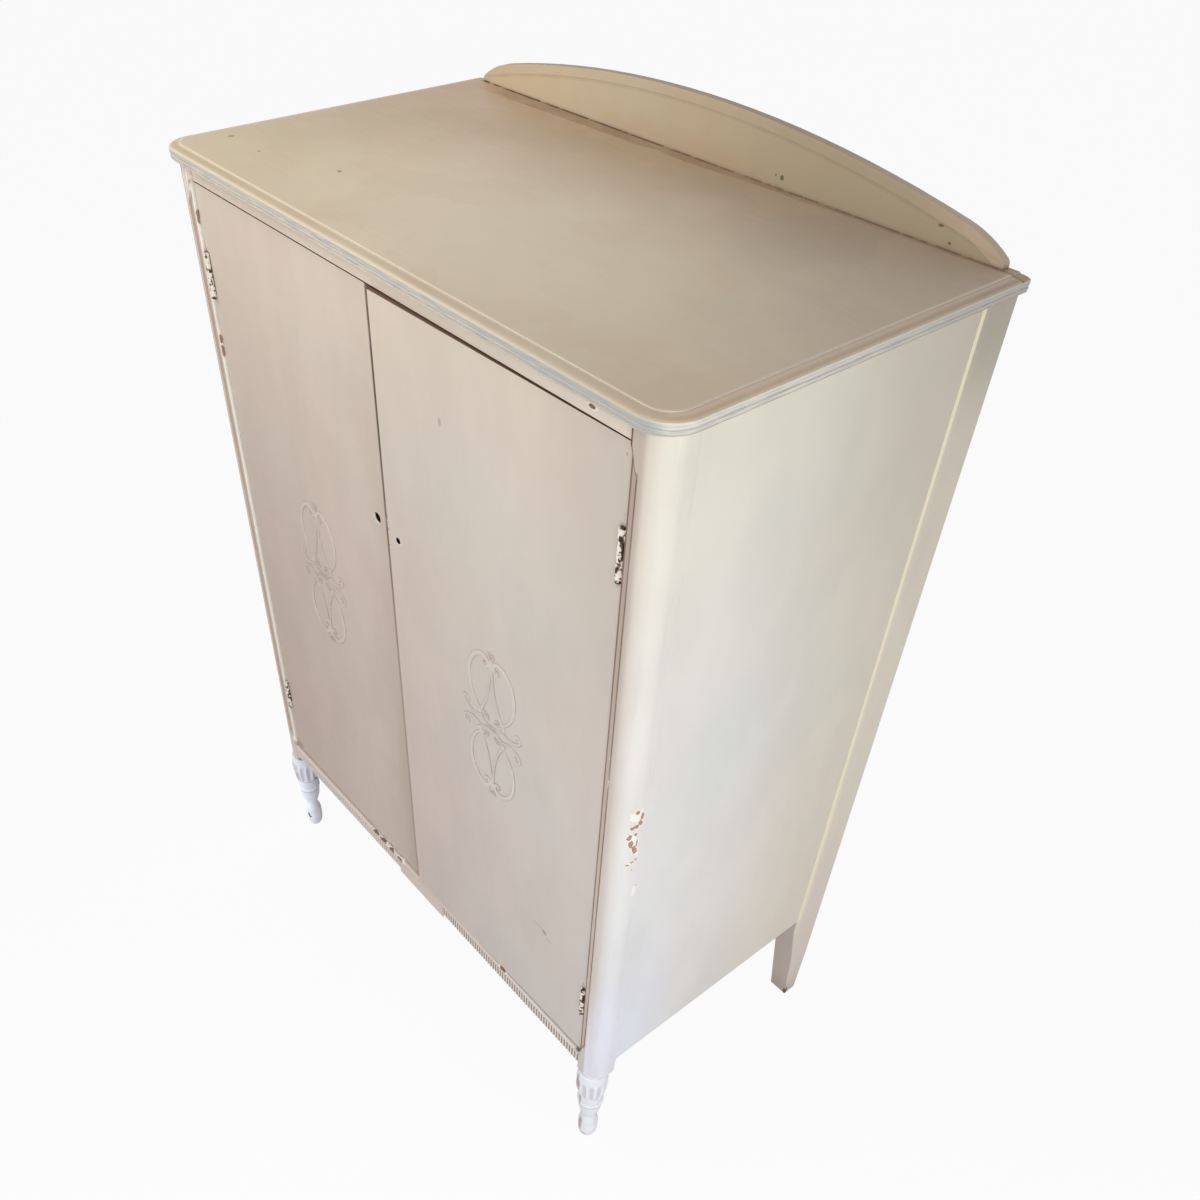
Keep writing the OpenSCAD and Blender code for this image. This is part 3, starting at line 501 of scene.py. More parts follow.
def gallery_paint(name):
    """Paint of the gallery board: darker to the right as painted light, dirt at its foot, a faint border along its
    arch, nail holes.
    """
    g = Graph(name)
    # painted light: the board darker to the right
    base = g.mix(g.span(g.x, -0.36, 0.36), srgb(212, 194, 163), srgb(170, 156, 130))
    facing = g.node("ShaderNodeSeparateXYZ", Vector=g.normal)
    upward = g.span(facing.outputs[2], 0.4, 0.8)
    edge_tone = g.mix(g.span(g.x, 0.1, 0.4), srgb(160, 138, 112), srgb(186, 168, 146))
    base = g.mix(g.both(upward, g.span(g.y, gallery_low.y + 0.0010, gallery_low.y + 0.0013)), base, edge_tone)
    base = g.mix(g.both(upward, g.span(g.y, gallery_low.y + 0.0013, gallery_low.y + 0.0010), 0.75), base,
                 srgb(146, 126, 102))
    border = g.both(g.span(g.y, gallery_low.y + 0.0005, gallery_low.y + 0.0009), g.span(g.x, 0.3, 0.42))
    base = g.mix(g.math("MULTIPLY", border, 0.5), base, srgb(206, 182, 160))
    base = mottle(g, base)
    base = stain(g, base, [((-40, 251, 1350), (130, 8, 14))], srgb(190, 150, 120), 0.25, 0.6, 20.0, 0.6)
    from_top = g.math("SUBTRACT", g.vector("LENGTH", g.vector("SUBTRACT", g.stretched((1, 0, 1)),
                                                              (0, 0, gallery_high.z - ARCH))), ARCH)
    soft = g.span(g.math("ABSOLUTE", g.math("ADD", from_top, 0.0135)), 0.0028, 0.0005, 0.0, 0.24)
    in_front = g.span(g.y, gallery_low.y + 0.006, gallery_low.y + 0.003)
    soft = g.both(soft, in_front)
    patchy = g.span(g.noise(g.place, 30.0, 3.0), 0.3, 0.6, 0.4, 1.0)
    base = g.mix(g.both(soft, patchy), base, srgb(140, 112, 88))
    broken = g.span(g.noise(g.stretched((1.0, 0.2, 0.2)), 75.0, 4.0), 0.36, 0.5, 0.2, 1.0)
    foot = g.both(g.span(g.z, 1.3422, 1.3405), broken, in_front)
    base = g.mix(g.math("MULTIPLY", foot, g.span(g.x, -0.2, 0.1, 0.9, 0.6)), base, srgb(98, 70, 48))
    base = g.mix(g.span(g.z, 1.346, 1.340, 0.0, 0.25), base, GRIME_AND_SHADE)
    nails = [((142.8, 251.5, 1352.9), (2.6, 3, 3.0)), ((132.9, 251.5, 1353.8), (1.2, 3, 1.6)),
             ((370, 251.5, 1362), (3.4, 3, 1.7)), ((385.4, 251.5, 1347.5), (2.2, 3, 1.3))]
    base = stain(g, base, nails, DARK_GRIME_AND_SHADE, 0.75, 0.25, 300.0, 0.25)
    return brushed(g, crevice_dirt_and_shade(g, base, 0.3), "x")


def rail_paint(name, chips):
    """Paint of the fluted lower rail and its bead, with dirt and painted shade in the flutes and painted highlight
    on their crests.
    """
    g = Graph(name)
    base = mottle(g, paint_and_light_tone(g, srgb(224, 212, 200)))
    base = g.mix(g.span(g.z, 1.2, 1.3), base, g.mix(1.0, base, (1.07, 1.08, 1.09, 1), "MULTIPLY"))
    proud = g.span(g.y, rail_low.y - 0.0002, rail_low.y - 0.0012)
    base = g.mix(g.both(proud, 0.6), base, srgb(228, 210, 199))
    rounded = g.both(proud, g.span(g.x, 0.0, -0.3), 0.6)
    base = g.mix(rounded, base, srgb(246, 226, 214))
    rightward = g.both(g.span(g.x, 0.1, 0.4), g.span(g.z, 0.27, 0.26), 0.7)
    base = g.mix(rightward, base, srgb(226, 218, 212))
    # dirt with painted shade deep in the flutes, stronger to the right, and painted highlight on the crests
    fluted = g.both(g.span(g.math("ABSOLUTE", g.x), 0.066, 0.07), g.span(g.z, 0.2435, 0.2425))
    darker_flutes_right = g.span(g.x, -0.1, 0.1, 0.4, 1.0)
    deep = g.both(g.span(g.y, rail_low.y + 0.0001, rail_low.y + 0.0007), fluted, darker_flutes_right)
    base = g.mix(g.math("MULTIPLY", deep, 0.85), base, srgb(140, 112, 94))
    base = g.mix(g.both(fluted, g.span(g.y, rail_low.y + 0.0002, rail_low.y), 0.7), base, UNDERCOAT)
    base = crevice_dirt_and_shade(g, base, 0.7, 0.005, srgb(118, 90, 72))
    base = stain(g, base, [((-75, -249, 254.5), (95, 4, 1.3)), ((240, -249, 254.5), (50, 4, 1.0)),
                           ((425, -249, 256), (6, 6, 8))], srgb(92, 66, 50), 0.75, 0.4, 90.0, 0.3)
    base, depth = chip(g, base, chips, 0.5, 160.0, BARE_DARK)
    return brushed(g, base, "x", depth)


def scroll_paint(name, turn):
    """Paint of the raised ornament: dirt with painted shade where it meets the door, paler crowns as painted
    highlight.
    """
    g = Graph(name)
    base = mottle(g, paint_and_light_tone(g))
    out = Vector((math.sin(turn), -math.cos(turn), 0))
    foot = -DOOR_FACE
    if turn:
        swung = Vector((0, DOOR_FACE - RIGHT_HINGE.y, 0))
        foot = RIGHT_HINGE.dot(out) + (Matrix.Rotation(turn, 3, "Z") @ swung).dot(out)
    height = g.math("SUBTRACT", g.vector("DOT_PRODUCT", g.place, tuple(out)), foot)
    patchy = g.span(g.noise(g.place, 60.0, 4.0), 0.3, 0.6, 0.55, 1.0)
    stronger_low = g.span(g.z, 0.85, 0.68, 0.8, 1.0)
    # painted shade with dirt at the foot of the relief, stronger low down
    base = g.mix(g.both(g.span(height, 0.001, 0.0006), patchy, stronger_low, 0.85), base, srgb(150, 122, 114))
    # painted highlight on the crowns
    base = g.mix(g.span(height, 0.001, 0.0014, 0.0, 0.32), base, srgb(230, 217, 205))
    return brushed(g, base, "z")


def foot_paint(name):
    """Paint of the turned feet: painted shade and dirt in the flutes and rings with painted highlights on ridges,
    bead and toe, brown patches, and the left foot paler and bluer as painted light.
    """
    g = Graph(name)
    # painted light: the left foot paler than the right
    base = g.mix(g.span(g.x, -0.1, 0.1), srgb(250, 252, 255), FEET)
    # painted cool light on the left foot's right side
    turned_right = g.both(g.span(g.x, -0.456, -0.428), g.span(g.x, 0.1, -0.1))
    base = mottle(g, g.mix(g.math("MULTIPLY", turned_right, 0.55), base, srgb(206, 216, 240)))
    away_x = g.math("SUBTRACT", g.math("ABSOLUTE", g.x), FOOT_X)
    away_y = g.math("SUBTRACT", g.y, FOOT_Y)
    wave = g.math("COSINE", g.math("MULTIPLY", g.math("ARCTAN2", away_y, away_x), 12.0))
    bowed = g.math("ADD", g.z, g.math("MULTIPLY", wave, -0.003))
    # painted shade in the cup's flutes and painted highlight on their ridges
    cup = g.both(g.span(bowed, 0.145, 0.149), g.span(g.z, 0.192, 0.182))
    base = g.mix(g.both(cup, g.span(wave, 0.9, -0.9), 0.6), base, srgb(200, 194, 206))
    base = g.mix(g.both(cup, g.span(wave, 0.35, 0.95), 0.65), base, srgb(250, 250, 255))
    # painted shadow lines under the flutes and under the ring
    for height, half, share in ((0.1405, 0.003, 0.65), (0.1085, 0.0028, 0.45)):
        line = g.span(g.off(g.z, height), half, half * 0.3, 0.0, share)
        base = g.mix(line, base, srgb(176, 168, 180))
    # painted highlights on the bead and the toe
    crown = g.span(g.off(g.z, 0.1155), 0.006, 0.001, 0.0, 0.45)
    base = g.mix(crown, base, srgb(250, 250, 255))
    toe = g.span(g.off(g.z, 0.03), 0.014, 0.002, 0.0, 0.35)
    base = g.mix(toe, base, srgb(252, 252, 255))
    base = crevice_dirt_and_shade(g, base, 0.7, 0.009, srgb(150, 134, 134))
    # brown patches on the right foot, partly dirt and partly painted shade on the side turned from the light
    base = stain(g, base, [((436, -256, 176), (3.6, 5, 24)), ((442.5, -255, 128), (3.2, 4, 14)),
                           ((442.5, -250, 40), (4, 5, 24)), ((450, -250, 12), (7, 5, 5))],
                 srgb(156, 122, 102), 0.7, 0.3, 50.0, 0.6)
    base = stain(g, base, [((-452, -257, 178), (9, 5, 12)), ((-441, -257, 152), (6, 5, 14))],
                 srgb(196, 170, 158), 0.6, 0.4, 80.0, 0.4)
    # painted shadow in a hollow of the left foot's cup
    base = stain(g, base, [((-427.5, -223.4, 143), (5, 5, 5))], srgb(96, 96, 120), 0.7, 0.3, 120.0, 0.4)
    toe_chips = [((-440, -249, 36.5), (2.6, 4, 4)), ((-437.5, -248, 31), (2.4, 4, 3.4))]
    base, depth = chip(g, base, toe_chips, 0.4, 200.0, srgb(96, 62, 52), False)
    return brushed(g, base, "z", depth)


def leg_paint(name):
    """Paint of the rear posts, rubbed off toward the floor, with a painted highlight on the bevel."""
    g = Graph(name)
    base = mottle(g, paint_and_light_tone(g))
    shaded = g.both(g.span(g.z, 1.15, 1.3), g.span(g.x, 0.2, 0.3), 0.5)
    base = crevice_dirt_and_shade(g, g.mix(shaded, base, srgb(150, 144, 132)), 0.4)
    # painted highlight on the bevel and its flanks, which face the light
    bevel = g.both(g.span(g.y, 0.2048, 0.2058), g.span(g.y, 0.2106, 0.2098), g.span(g.z, 0.24, 0.26))
    flank = g.both(g.span(g.y, 0.201, 0.2055), g.span(g.y, 0.2155, 0.2105), g.span(g.z, 0.24, 0.26))
    base = g.mix(g.both(flank, g.span(g.z, 0.75, 0.4), 0.5), base, srgb(236, 226, 200))
    base = g.mix(g.math("MULTIPLY", bevel, 0.8), base, srgb(236, 226, 196))
    low_side = g.both(g.span(g.z, 0.5, 0.3), g.span(g.y, 0.212, 0.218), 0.5)
    base = g.mix(low_side, base, srgb(220, 203, 196))
    uneven = g.math("ADD", g.z, g.math("MULTIPLY", g.noise(g.place, 40.0, 4.0), 0.05))
    base = g.mix(g.span(uneven, 0.09, 0.03, 0.0, 0.25), base, srgb(150, 126, 108))
    base = stain(g, base, [((474, 235, 8), (4, 5, 12))], srgb(90, 56, 46), 0.9, 0.35, 150.0, 0.3)
    return brushed(g, base, "z")


def hinge_coat(name):
    """Thick old paint over the hinges, broken at the knuckles."""
    g = Graph(name, 0.4)
    flaked = g.noise(g.stretched((1.0, 1.0, 0.8)), 150.0, 3.0, 0.5)
    base = g.mix(g.span(flaked, 0.49, 0.53), UNDERCOAT, srgb(112, 90, 76))
    base = g.mix(g.span(flaked, 0.545, 0.585), base, srgb(44, 31, 26))
    # painted shade with dirt in the hinges' crevices
    return brushed(g, crevice_dirt_and_shade(g, base, 0.9, 0.004, DARK_GRIME_AND_SHADE), "z")


def wood(name, light, dark, grain="x"):
    """Planed wood with long grain along one axis."""
    g = Graph(name, 0.62)
    along = {"x": (1.6, 26.0, 26.0), "z": (26.0, 26.0, 1.6)}[grain]
    place = g.stretched(along)
    rings = g.noise(place, 2.4, 5.0, 0.6, 0.6)
    pores = g.noise(place, 22.0, 3.0, 0.6)
    tone = g.mix(g.span(rings, 0.3, 0.72), light, dark)
    tone = g.mix(g.span(pores, 0.58, 0.8, 0.0, 0.45), tone, dark)
    g.colour(tone)
    g.bump(pores, 0.0002, 0.4)
    return g.material


def metal(name, colour, roughness=0.38):
    """Dull steel with patches of tarnish."""
    g = Graph(name, roughness)
    g.shader.inputs["Metallic"].default_value = 1.0
    tarnish = g.span(g.noise(g.place, 120.0, 4.0), 0.35, 0.7)
    dull = tuple(c * 0.6 for c in colour[:3]) + (1.0,)
    g.colour(g.mix(tarnish, colour, dull))
    g.feed(g.shader.inputs["Roughness"], g.span(tarnish, 0.0, 1.0, roughness, roughness + 0.22))
    return g.material


# ---------------------------------------------------------------- pieces

def give(piece, *materials):
    """Puts these materials on a piece, in order, in place of what it has."""
    piece.data.materials.clear()
    for material in materials:
        piece.data.materials.append(material)


def finish_piece(mesh_maker, name, body, slot, *materials):
    """Makes an object of a bmesh, dresses it and lets it ride on its body."""
    mesh = bpy.data.meshes.new(name)
    mesh_maker.to_mesh(mesh)
    mesh_maker.free()
    piece = bpy.data.objects.new(name, mesh)
    bpy.context.scene.collection.objects.link(piece)
    give(piece, *materials)
    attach(piece, body)
    return piece


def eased(node, width, material, edge_material, segments=3):
    """A copy of a CAD node with its sharp edges rounded over, which stands for the node."""
    bm = bmesh.new()
    bm.from_mesh(frame["nodes"][node].data)
    bmesh.ops.remove_doubles(bm, verts=bm.verts, dist=2e-6)
    bmesh.ops.dissolve_limit(bm, angle_limit=math.radians(0.4), verts=bm.verts, edges=bm.edges)
    sharp = [e for e in bm.edges if e.is_manifold and e.calc_face_angle(0.0) > math.radians(32)]
    made = bmesh.ops.bevel(bm, geom=sharp, offset=width, offset_type="OFFSET", segments=segments,
                           profile=0.5, affect="EDGES", clamp_overlap=True, material=-1)
    for face in bm.faces:
        face.smooth = True
        face.material_index = 0
    for face in made["faces"]:
        face.material_index = 1
    piece = finish_piece(bm, node + "_finished", BODY_OF[node], SLOT_OF[node], material,
                         edge_material)
    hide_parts(node)
    piece.data.set_sharp_from_angle(angle=math.radians(40))
    weighted = piece.modifiers.new("even_shading", "WEIGHTED_NORMAL")
    weighted.keep_sharp = True
    return piece


# ---------------------------------------------------------------- scroll ornament

SCROLL_X = 215
SCROLL_Z = 785
FLATTEN = 0.42

# Strands of one quarter, mirrored to the other three: (points, radius at each end and the middle).
# A point is (out from the middle line, up from the middle), in millimetres.
LOOP = [(5, 12), (16, 15), (30, 26), (41, 42), (46, 62), (46, 84), (38, 104), (24, 117), (11, 118),
        (4, 110), (7, 102), (14, 101), (16, 106), (12, 109)]
STEM = [(27, 13), (19, 26), (11, 44), (6, 62), (3, 82), (1, 104), (0, 118)]
ARM = [(22, 10), (34, 4), (46, 6), (58, 12), (60, 20), (54, 25), (48, 21), (51, 17)]
KNOT = [(0, 3), (10, 2), (20, 8), (24, 15), (17, 21), (9, 20), (7, 15), (11, 14)]
FINIAL = [(0, 118), (4, 121), (7, 126), (3, 128), (0, 124)]
STRANDS = [(LOOP, 1.8, 3.9), (STEM, 3.5, 2.4), (ARM, 2.5, 2.9), (KNOT, 2.1, 2.4), (FINIAL, 2.1, 2.3)]


def strand(points, radius_end, radius_middle):
    """One smooth strand through its points, thicker in the middle, as a mesh in the XZ plane."""
    curve = bpy.data.curves.new("strand", "CURVE")
    curve.dimensions = "3D"
    curve.bevel_depth = 1.0 * MM
    curve.bevel_resolution = 3
    curve.use_fill_caps = True
    spline = curve.splines.new("NURBS")
    spline.points.add(len(points) - 1)
    for i, (point, (x, z)) in enumerate(zip(spline.points, points)):
        along = i / (len(points) - 1)
        point.co = (x * MM, 0, z * MM, 1)
        point.radius = radius_end + (radius_middle - radius_end) * math.sin(math.pi * along)
    spline.order_u = 3
    spline.use_endpoint_u = True
    spline.resolution_u = 6
    holder = bpy.data.objects.new("strand", curve)
    bpy.context.scene.collection.objects.link(holder)
    bpy.context.view_layer.update()
    mesh = bpy.data.meshes.new_from_object(holder.evaluated_get(bpy.context.evaluated_depsgraph_get()))
    bpy.data.objects.remove(holder)
    bpy.data.curves.remove(curve)
    return mesh


def scroll(name, side, body, material):
    """The whole ornament on one door, low relief, worked in the plane of the shut door."""
    bm = bmesh.new()
    for points, radius_end, radius_middle in STRANDS:
        mesh = strand(points, radius_end, radius_middle)
        for flip_x in (1, -1):
            for flip_z in (1, -1):
                start = len(bm.verts)
                bm.from_mesh(mesh)
                bm.verts.ensure_lookup_table()
                turned = bm.verts[start:]
                bmesh.ops.scale(bm, vec=(flip_x, FLATTEN, flip_z), verts=turned)
        bpy.data.meshes.remove(mesh)
    for x, z, r in [(50, 17, 2.6), (12, 105, 2.4), (10, 17, 2.0)]:
        for flip_x in (1, -1):
            for flip_z in (1, -1):
                bead = bmesh.ops.create_uvsphere(bm, u_segments=12, v_segments=8, radius=r * MM)
                bmesh.ops.scale(bm, vec=(1, FLATTEN, 1), verts=bead["verts"])
                bmesh.ops.translate(bm, vec=(flip_x * x * MM, 0, flip_z * z * MM), verts=bead["verts"])
    bmesh.ops.translate(bm, vec=(side * SCROLL_X * MM, DOOR_FACE, SCROLL_Z * MM), verts=bm.verts)
    if side > 0:
        bmesh.ops.rotate(bm, cent=RIGHT_HINGE, matrix=Matrix.Rotation(AJAR, 3, "Z"), verts=bm.verts)
    bmesh.ops.recalc_face_normals(bm, faces=bm.faces)
    for face in bm.faces:
        face.smooth = True
    return finish_piece(bm, name, body, "painted_wood", material)


# ---------------------------------------------------------------- strips behind the lower rail

BLOCK_CENTRES = (170, 330)
BLOCK_HALF = 30
STRIP_DEPTH = 20
STRIP_HEIGHT = 20


def rail_strips(name, body, material):
    """Strips between the glue blocks, level with the rail's top, under the front of the bottom board."""
    ends = [rail_high.x]
    for centre in reversed(BLOCK_CENTRES):
        ends += [(centre + BLOCK_HALF) * MM, (centre - BLOCK_HALF) * MM]
    ends += [-end for end in reversed(ends)]
    bm = bmesh.new()
    for right, left in zip(ends[0::2], ends[1::2]):
        strip = bmesh.ops.create_cube(bm, size=1.0)["verts"]
        bmesh.ops.scale(bm, vec=(right - left, STRIP_DEPTH * MM, STRIP_HEIGHT * MM), verts=strip)
        middle_y = rail_high.y + STRIP_DEPTH * MM / 2
        middle_z = rail_high.z - STRIP_HEIGHT * MM / 2
        bmesh.ops.translate(bm, vec=((left + right) / 2, middle_y, middle_z), verts=strip)
    return finish_piece(bm, name, body, "bare_wood", material)


# ---------------------------------------------------------------- dressing

case_paint = plain_paint("old_paint", srgb(206, 190, 166))
edge_paint = plain_paint("rubbed_edges", srgb(214, 200, 180), rubbed=True)
slab_paint = top_paint("paint_on_top")
back_board_paint = gallery_paint("paint_on_gallery")
left_post_chips = [((-430.8, -250, 1255), (3, 3, 10)), ((-431, -250, 1083), (2, 3, 6)),
                   ((-431, -250, 1066), (2, 3, 9))]
# the left post's pale wall tone is painted highlight
left_post_paint = post_paint("paint_on_left_post", -1, 0.6, srgb(216, 200, 186), srgb(255, 252, 242),
                             srgb(204, 184, 168), left_post_chips)
# paint flaked off the round in two patches, with scratches and specks below them
right_post_chips = [
    ((471.2, -230.5, 830), (1.8, 3, 3.2)), ((472, -223.5, 819), (2, 2.6, 7)),
    ((471.8, -225, 809), (2, 4, 5)), ((471.3, -230, 805), (3, 4, 4)),
    ((469.7, -235.1, 803), (3, 3, 3.4)), ((468.7, -237.3, 787), (3, 3.4, 6)),
    ((469.7, -235.1, 774), (3, 2.8, 7)), ((471.3, -230, 790), (2, 2.8, 3)),
    ((471.4, -229.4, 760), (3, 3.6, 5)), ((471.8, -227, 773), (1.4, 1.4, 6)),
    ((471.1, -231, 766), (2, 3, 3)), ((469, -236.8, 734.6), (1.8, 2.6, 1.5)),
    ((471.1, -230.7, 738), (1.8, 3.4, 1.5)), ((472, -225.5, 740.6), (1.5, 2.6, 1.4)),
    ((471.4, -229.7, 723), (1.2, 1.2, 1.6)), ((471.7, -219, 686), (1.2, 1.4, 1.6))]
right_post_marks = [((431.5, -254.5, 252), (1.6, 3, 2.2)), ((430.8, -254.5, 1305), (1.5, 4, 13)),
                    ((431, -250, 264), (4, 5, 7))]
right_post_paint = post_paint("paint_on_right_post", 1, 0.0, srgb(206, 188, 174), WALL_DIRT_AND_SHADE, WALL_DIRT_AND_SHADE,
                              right_post_chips, right_post_marks)
left_door_chips = [((-142, -248, 254), (6, 3, 3)), ((-120, -248, 255), (9, 3, 3)),
                   ((-96, -248, 254), (7, 3, 3.4)), ((-64, -248, 255), (8, 3, 3)),
                   ((-30, -248, 254), (5, 3, 2))]
left_door_paint = door_paint("paint_on_left_door", True, LEFT_KNOB_HOLE, left_door_chips,
                             [((-418, -248, 262), (12, 4, 8))], -428)
right_door_chips = [((1, -254, 1004), (1.6, 3, 5)), ((1.5, -254, 985), (1.2, 3, 4)),
                    ((1, -254, 960), (1.2, 3, 3)), ((235, -251, 255), (6, 3, 2))]
right_door_stains = [((421, -249, 1283), (1.5, 4, 2)), ((128, -253, 1191), (2.5, 3, 5))]
right_door_scratches = [((318, -250, 462), (11, 3, 0.8)), ((334, -250, 458), (5, 3, 4)),
                        ((346, -250, 449), (9, 3, 0.8))]
right_door_paint = door_paint("paint_on_right_door", False, RIGHT_KNOB_HOLE, right_door_chips,
                              right_door_stains, 423, right_door_scratches)
rail_chips = [((-142, -252, 251), (8, 4, 3)), ((-118, -252, 250), (10, 4, 3)),
              ((-90, -252, 249), (8, 4, 3.5)), ((-62, -252, 249), (9, 4, 3)), ((236, -252, 251), (7, 4, 2.5))]
lower_rail_paint = rail_paint("paint_on_lower_rail", rail_chips)
upper_rail_paint = rail_paint("paint_on_upper_rail", [((371, -248, 1309), (5, 3, 2.4))])
foot_coat = foot_paint("paint_on_feet")
rear_post_paint = leg_paint("paint_on_rear_posts")
scroll_left_paint = scroll_paint("paint_on_left_scroll", 0.0)
scroll_right_paint = scroll_paint("paint_on_right_scroll", AJAR)
bare_wood = wood("bare_wood", srgb(186, 152, 112), srgb(142, 108, 74))
upright_wood = wood("bare_wood_upright", srgb(182, 148, 108), srgb(138, 104, 70), grain="z")
rod_wood = wood("rod_wood", srgb(170, 124, 82), srgb(122, 82, 50))
steel = metal("steel", srgb(150, 148, 142))
hinge_paint = hinge_coat("painted_hinges")

FINISHES = {"painted_wood": case_paint, "bare_wood": bare_wood, "back_ply": upright_wood,
            "rod_wood": rod_wood, "painted_hinge": hinge_paint, "steel": steel}
for node in frame["nodes"].values():
    give(node, FINISHES[SLOT_OF[node.name]])
for node in ("front_foot_l", "front_foot_r"):
    give(frame["nodes"][node], foot_coat)
eased("front_post_r", 0.6 * MM, right_post_paint, right_post_paint)
eased("front_post_l", 0.6 * MM, left_post_paint, left_post_paint)
for node in ("rear_post_l", "rear_post_r"):
    eased(node, 0.8 * MM, rear_post_paint, edge_paint)
for node in ("side_panel_l", "side_panel_r"):
    eased(node, 0.5 * MM, case_paint, case_paint)
eased("top_slab", 0.35 * MM, slab_paint, slab_paint)
eased("gallery_board", 0.8 * MM, back_board_paint, back_board_paint)
for node in ("rail_tablet", "rail_bead", "bottom_front_rail"):
    eased(node, 0.3 * MM, lower_rail_paint, lower_rail_paint)
eased("top_front_rail", 0.4 * MM, upper_rail_paint, upper_rail_paint)
eased("door_l", 1.0 * MM, left_door_paint, left_door_paint)
eased("door_r", 1.0 * MM, right_door_paint, right_door_paint)
scroll("scroll_l", -1, "left_door", scroll_left_paint)
scroll("scroll_r", 1, "right_door", scroll_right_paint)
rail_strips("rail_strips", "case", bare_wood)

# ---------------------------------------------------------------- floor, light and camera

def stage_floor():
    """A pale floor: nearly white to the camera, light grey to the light that bounces off it."""
    bm = bmesh.new()
    bmesh.ops.create_grid(bm, x_segments=1, y_segments=1, size=40.0)
    mesh = bpy.data.meshes.new("floor")
    bm.to_mesh(mesh)
    bm.free()
    floor = bpy.data.objects.new("floor", mesh)
    bpy.context.scene.collection.objects.link(floor)
    material = bpy.data.materials.new("floor")
    material.use_nodes = True
    tree = material.node_tree
    tree.nodes.clear()
    diffuse = tree.nodes.new("ShaderNodeBsdfDiffuse")
    diffuse.inputs["Color"].default_value = (0.86, 0.86, 0.86, 1)
    white = tree.nodes.new("ShaderNodeEmission")
    path = tree.nodes.new("ShaderNodeLightPath")
    share = tree.nodes.new("ShaderNodeMath")
    share.operation = "MULTIPLY"
    share.inputs[1].default_value = 0.93
    blend = tree.nodes.new("ShaderNodeMixShader")
    out = tree.nodes.new("ShaderNodeOutputMaterial")
    tree.links.new(path.outputs["Is Camera Ray"], share.inputs[0])
    tree.links.new(share.outputs[0], blend.inputs[0])
    tree.links.new(diffuse.outputs[0], blend.inputs[1])
    tree.links.new(white.outputs[0], blend.inputs[2])
    tree.links.new(blend.outputs[0], out.inputs[0])
    mesh.materials.append(material)


def world_light(strength, colour):
    """Even light all round, with a white backdrop for the camera and for reflections."""
    world = bpy.data.worlds.new("studio")
    bpy.context.scene.world = world
    world.use_nodes = True
    tree = world.node_tree
    tree.nodes.clear()
    ambient = tree.nodes.new("ShaderNodeBackground")
    ambient.inputs["Color"].default_value = colour
    ambient.inputs["Strength"].default_value = strength
    white = tree.nodes.new("ShaderNodeBackground")
    white.inputs["Color"].default_value = (1, 1, 1, 1)
    path = tree.nodes.new("ShaderNodeLightPath")
    seen = tree.nodes.new("ShaderNodeMath")
    seen.operation = "MAXIMUM"
    also = tree.nodes.new("ShaderNodeMath")
    also.operation = "MAXIMUM"
    blend = tree.nodes.new("ShaderNodeMixShader")
    out = tree.nodes.new("ShaderNodeOutputWorld")
    tree.links.new(path.outputs["Is Camera Ray"], seen.inputs[0])
    tree.links.new(path.outputs["Is Glossy Ray"], seen.inputs[1])
    tree.links.new(seen.outputs[0], also.inputs[0])
    tree.links.new(path.outputs["Is Transmission Ray"], also.inputs[1])
    tree.links.new(also.outputs[0], blend.inputs[0])
    tree.links.new(ambient.outputs[0], blend.inputs[1])
    tree.links.new(white.outputs[0], blend.inputs[2])
    tree.links.new(blend.outputs[0], out.inputs[0])


def lamp(name, place, aim, size, power):
    """A square soft light at a place, aimed at a point."""
    light = bpy.data.lights.new(name, "AREA")
    light.size = size
    light.energy = power
    holder = bpy.data.objects.new(name, light)
    holder.location = place
    holder.rotation_euler = (Vector(aim) - Vector(place)).to_track_quat("-Z", "Y").to_euler()
    bpy.context.scene.collection.objects.link(holder)


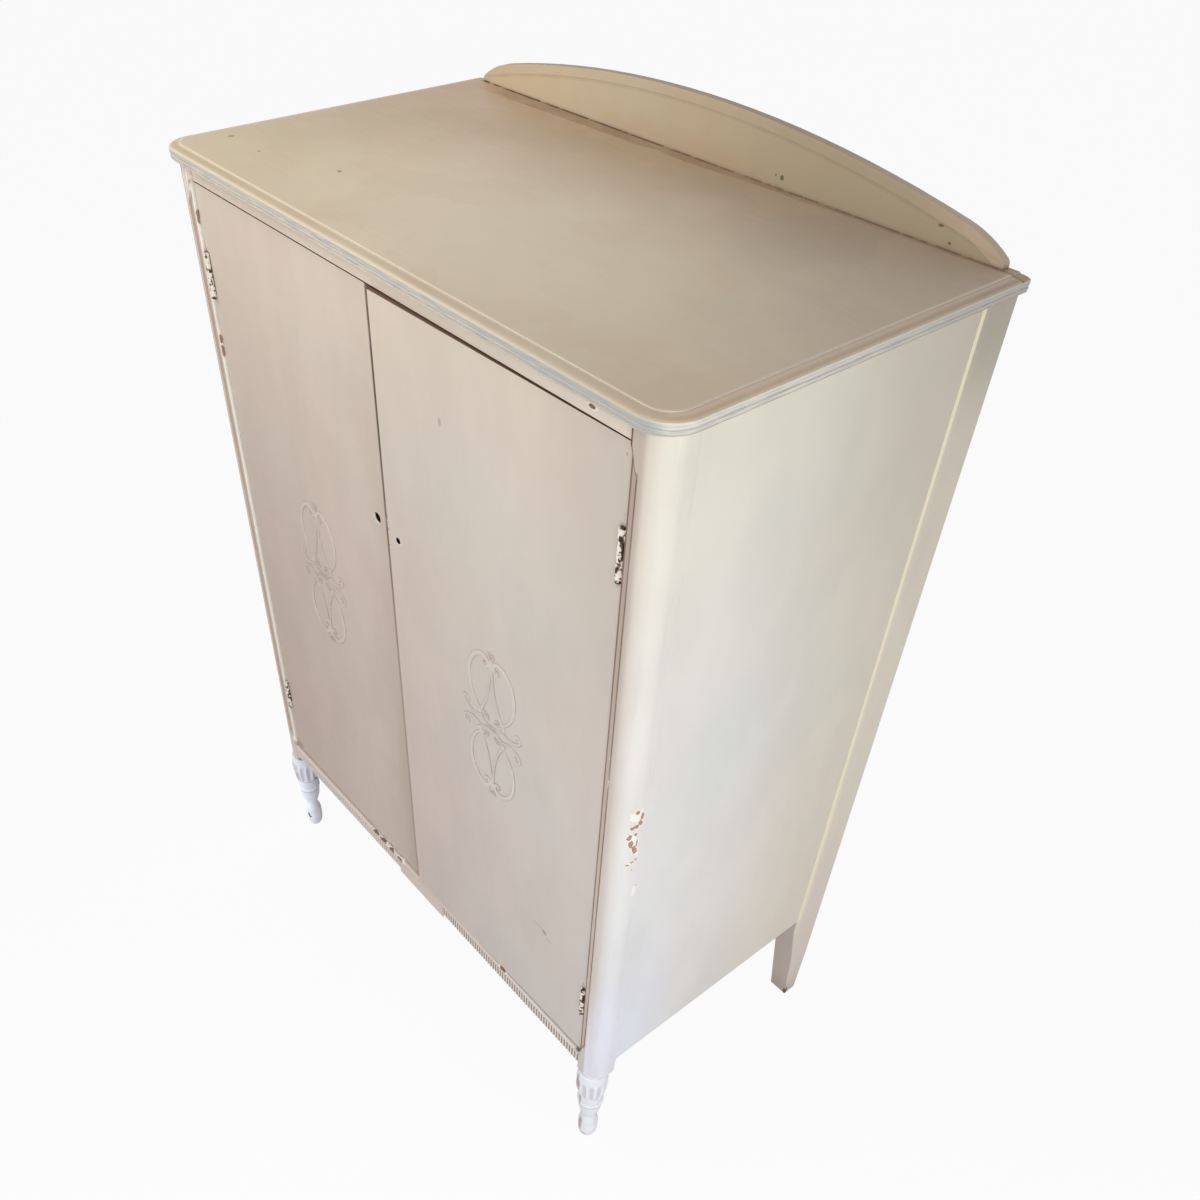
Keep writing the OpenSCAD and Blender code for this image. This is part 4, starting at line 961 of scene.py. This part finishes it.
def foot_light():
    """A cool low light on the left front foot, which stands in its own shade."""
    spot = bpy.data.lights.new("low_left", "SPOT")
    spot.energy = 12.0
    spot.color = (0.76, 0.88, 1.0)
    spot.spot_size = math.radians(22)
    spot.spot_blend = 1.0
    spot.shadow_soft_size = 0.1
    place = Vector((-0.62, -0.98, 0.2))
    low_left = bpy.data.objects.new("low_left", spot)
    low_left.location = place
    low_left.rotation_euler = (Vector((-FOOT_X, FOOT_Y, 0.07)) - place).to_track_quat("-Z", "Y").to_euler()
    bpy.context.scene.collection.objects.link(low_left)


CAMERA_PLACE = (1.058, -0.8827, 1.7961)
CAMERA_AZIMUTH = 50.69
CAMERA_ELEVATION = 44.3
CAMERA_ROLL = 0.902


def camera():
    """The one camera, looking down on the right front corner."""
    azimuth = math.radians(CAMERA_AZIMUTH)
    elevation = math.radians(CAMERA_ELEVATION)
    roll = math.radians(CAMERA_ROLL)
    forward = Vector((-math.sin(azimuth) * math.cos(elevation),
                      math.cos(azimuth) * math.cos(elevation), -math.sin(elevation)))
    level = Vector((math.cos(azimuth), math.sin(azimuth), 0))
    upright = level.cross(forward)
    right = level * math.cos(roll) + upright * math.sin(roll)
    up = -level * math.sin(roll) + upright * math.cos(roll)
    data = bpy.data.cameras.new("camera")
    data.sensor_width = 36
    data.lens = 33.125
    data.shift_x = 0.0616
    data.shift_y = 0.1147
    data.clip_end = 50
    holder = bpy.data.objects.new("camera", data)
    turn = Matrix((right, up, -forward)).transposed().to_4x4()
    holder.matrix_world = Matrix.Translation(CAMERA_PLACE) @ turn
    bpy.context.scene.collection.objects.link(holder)
    bpy.context.scene.camera = holder


stage_floor()
world_light(0.3, (1, 1, 1, 1))
lamp("window_left", (-0.7, -0.9, 2.3), (-0.1, 0, 1.3), 1.0, 12)
lamp("window_right", (1.7, -1.3, 1.4), (0.4, -0.1, 0.7), 1.0, 12)
lamp("room_front", (0.3, -2.4, 1.2), (0, -0.2, 0.8), 1.4, 12)
lamp("room_side", (2.4, 0.3, 0.9), (0.4, 0, 0.7), 1.2, 13.5)
foot_light()
camera()
bpy.context.scene.view_settings.view_transform = "Standard"
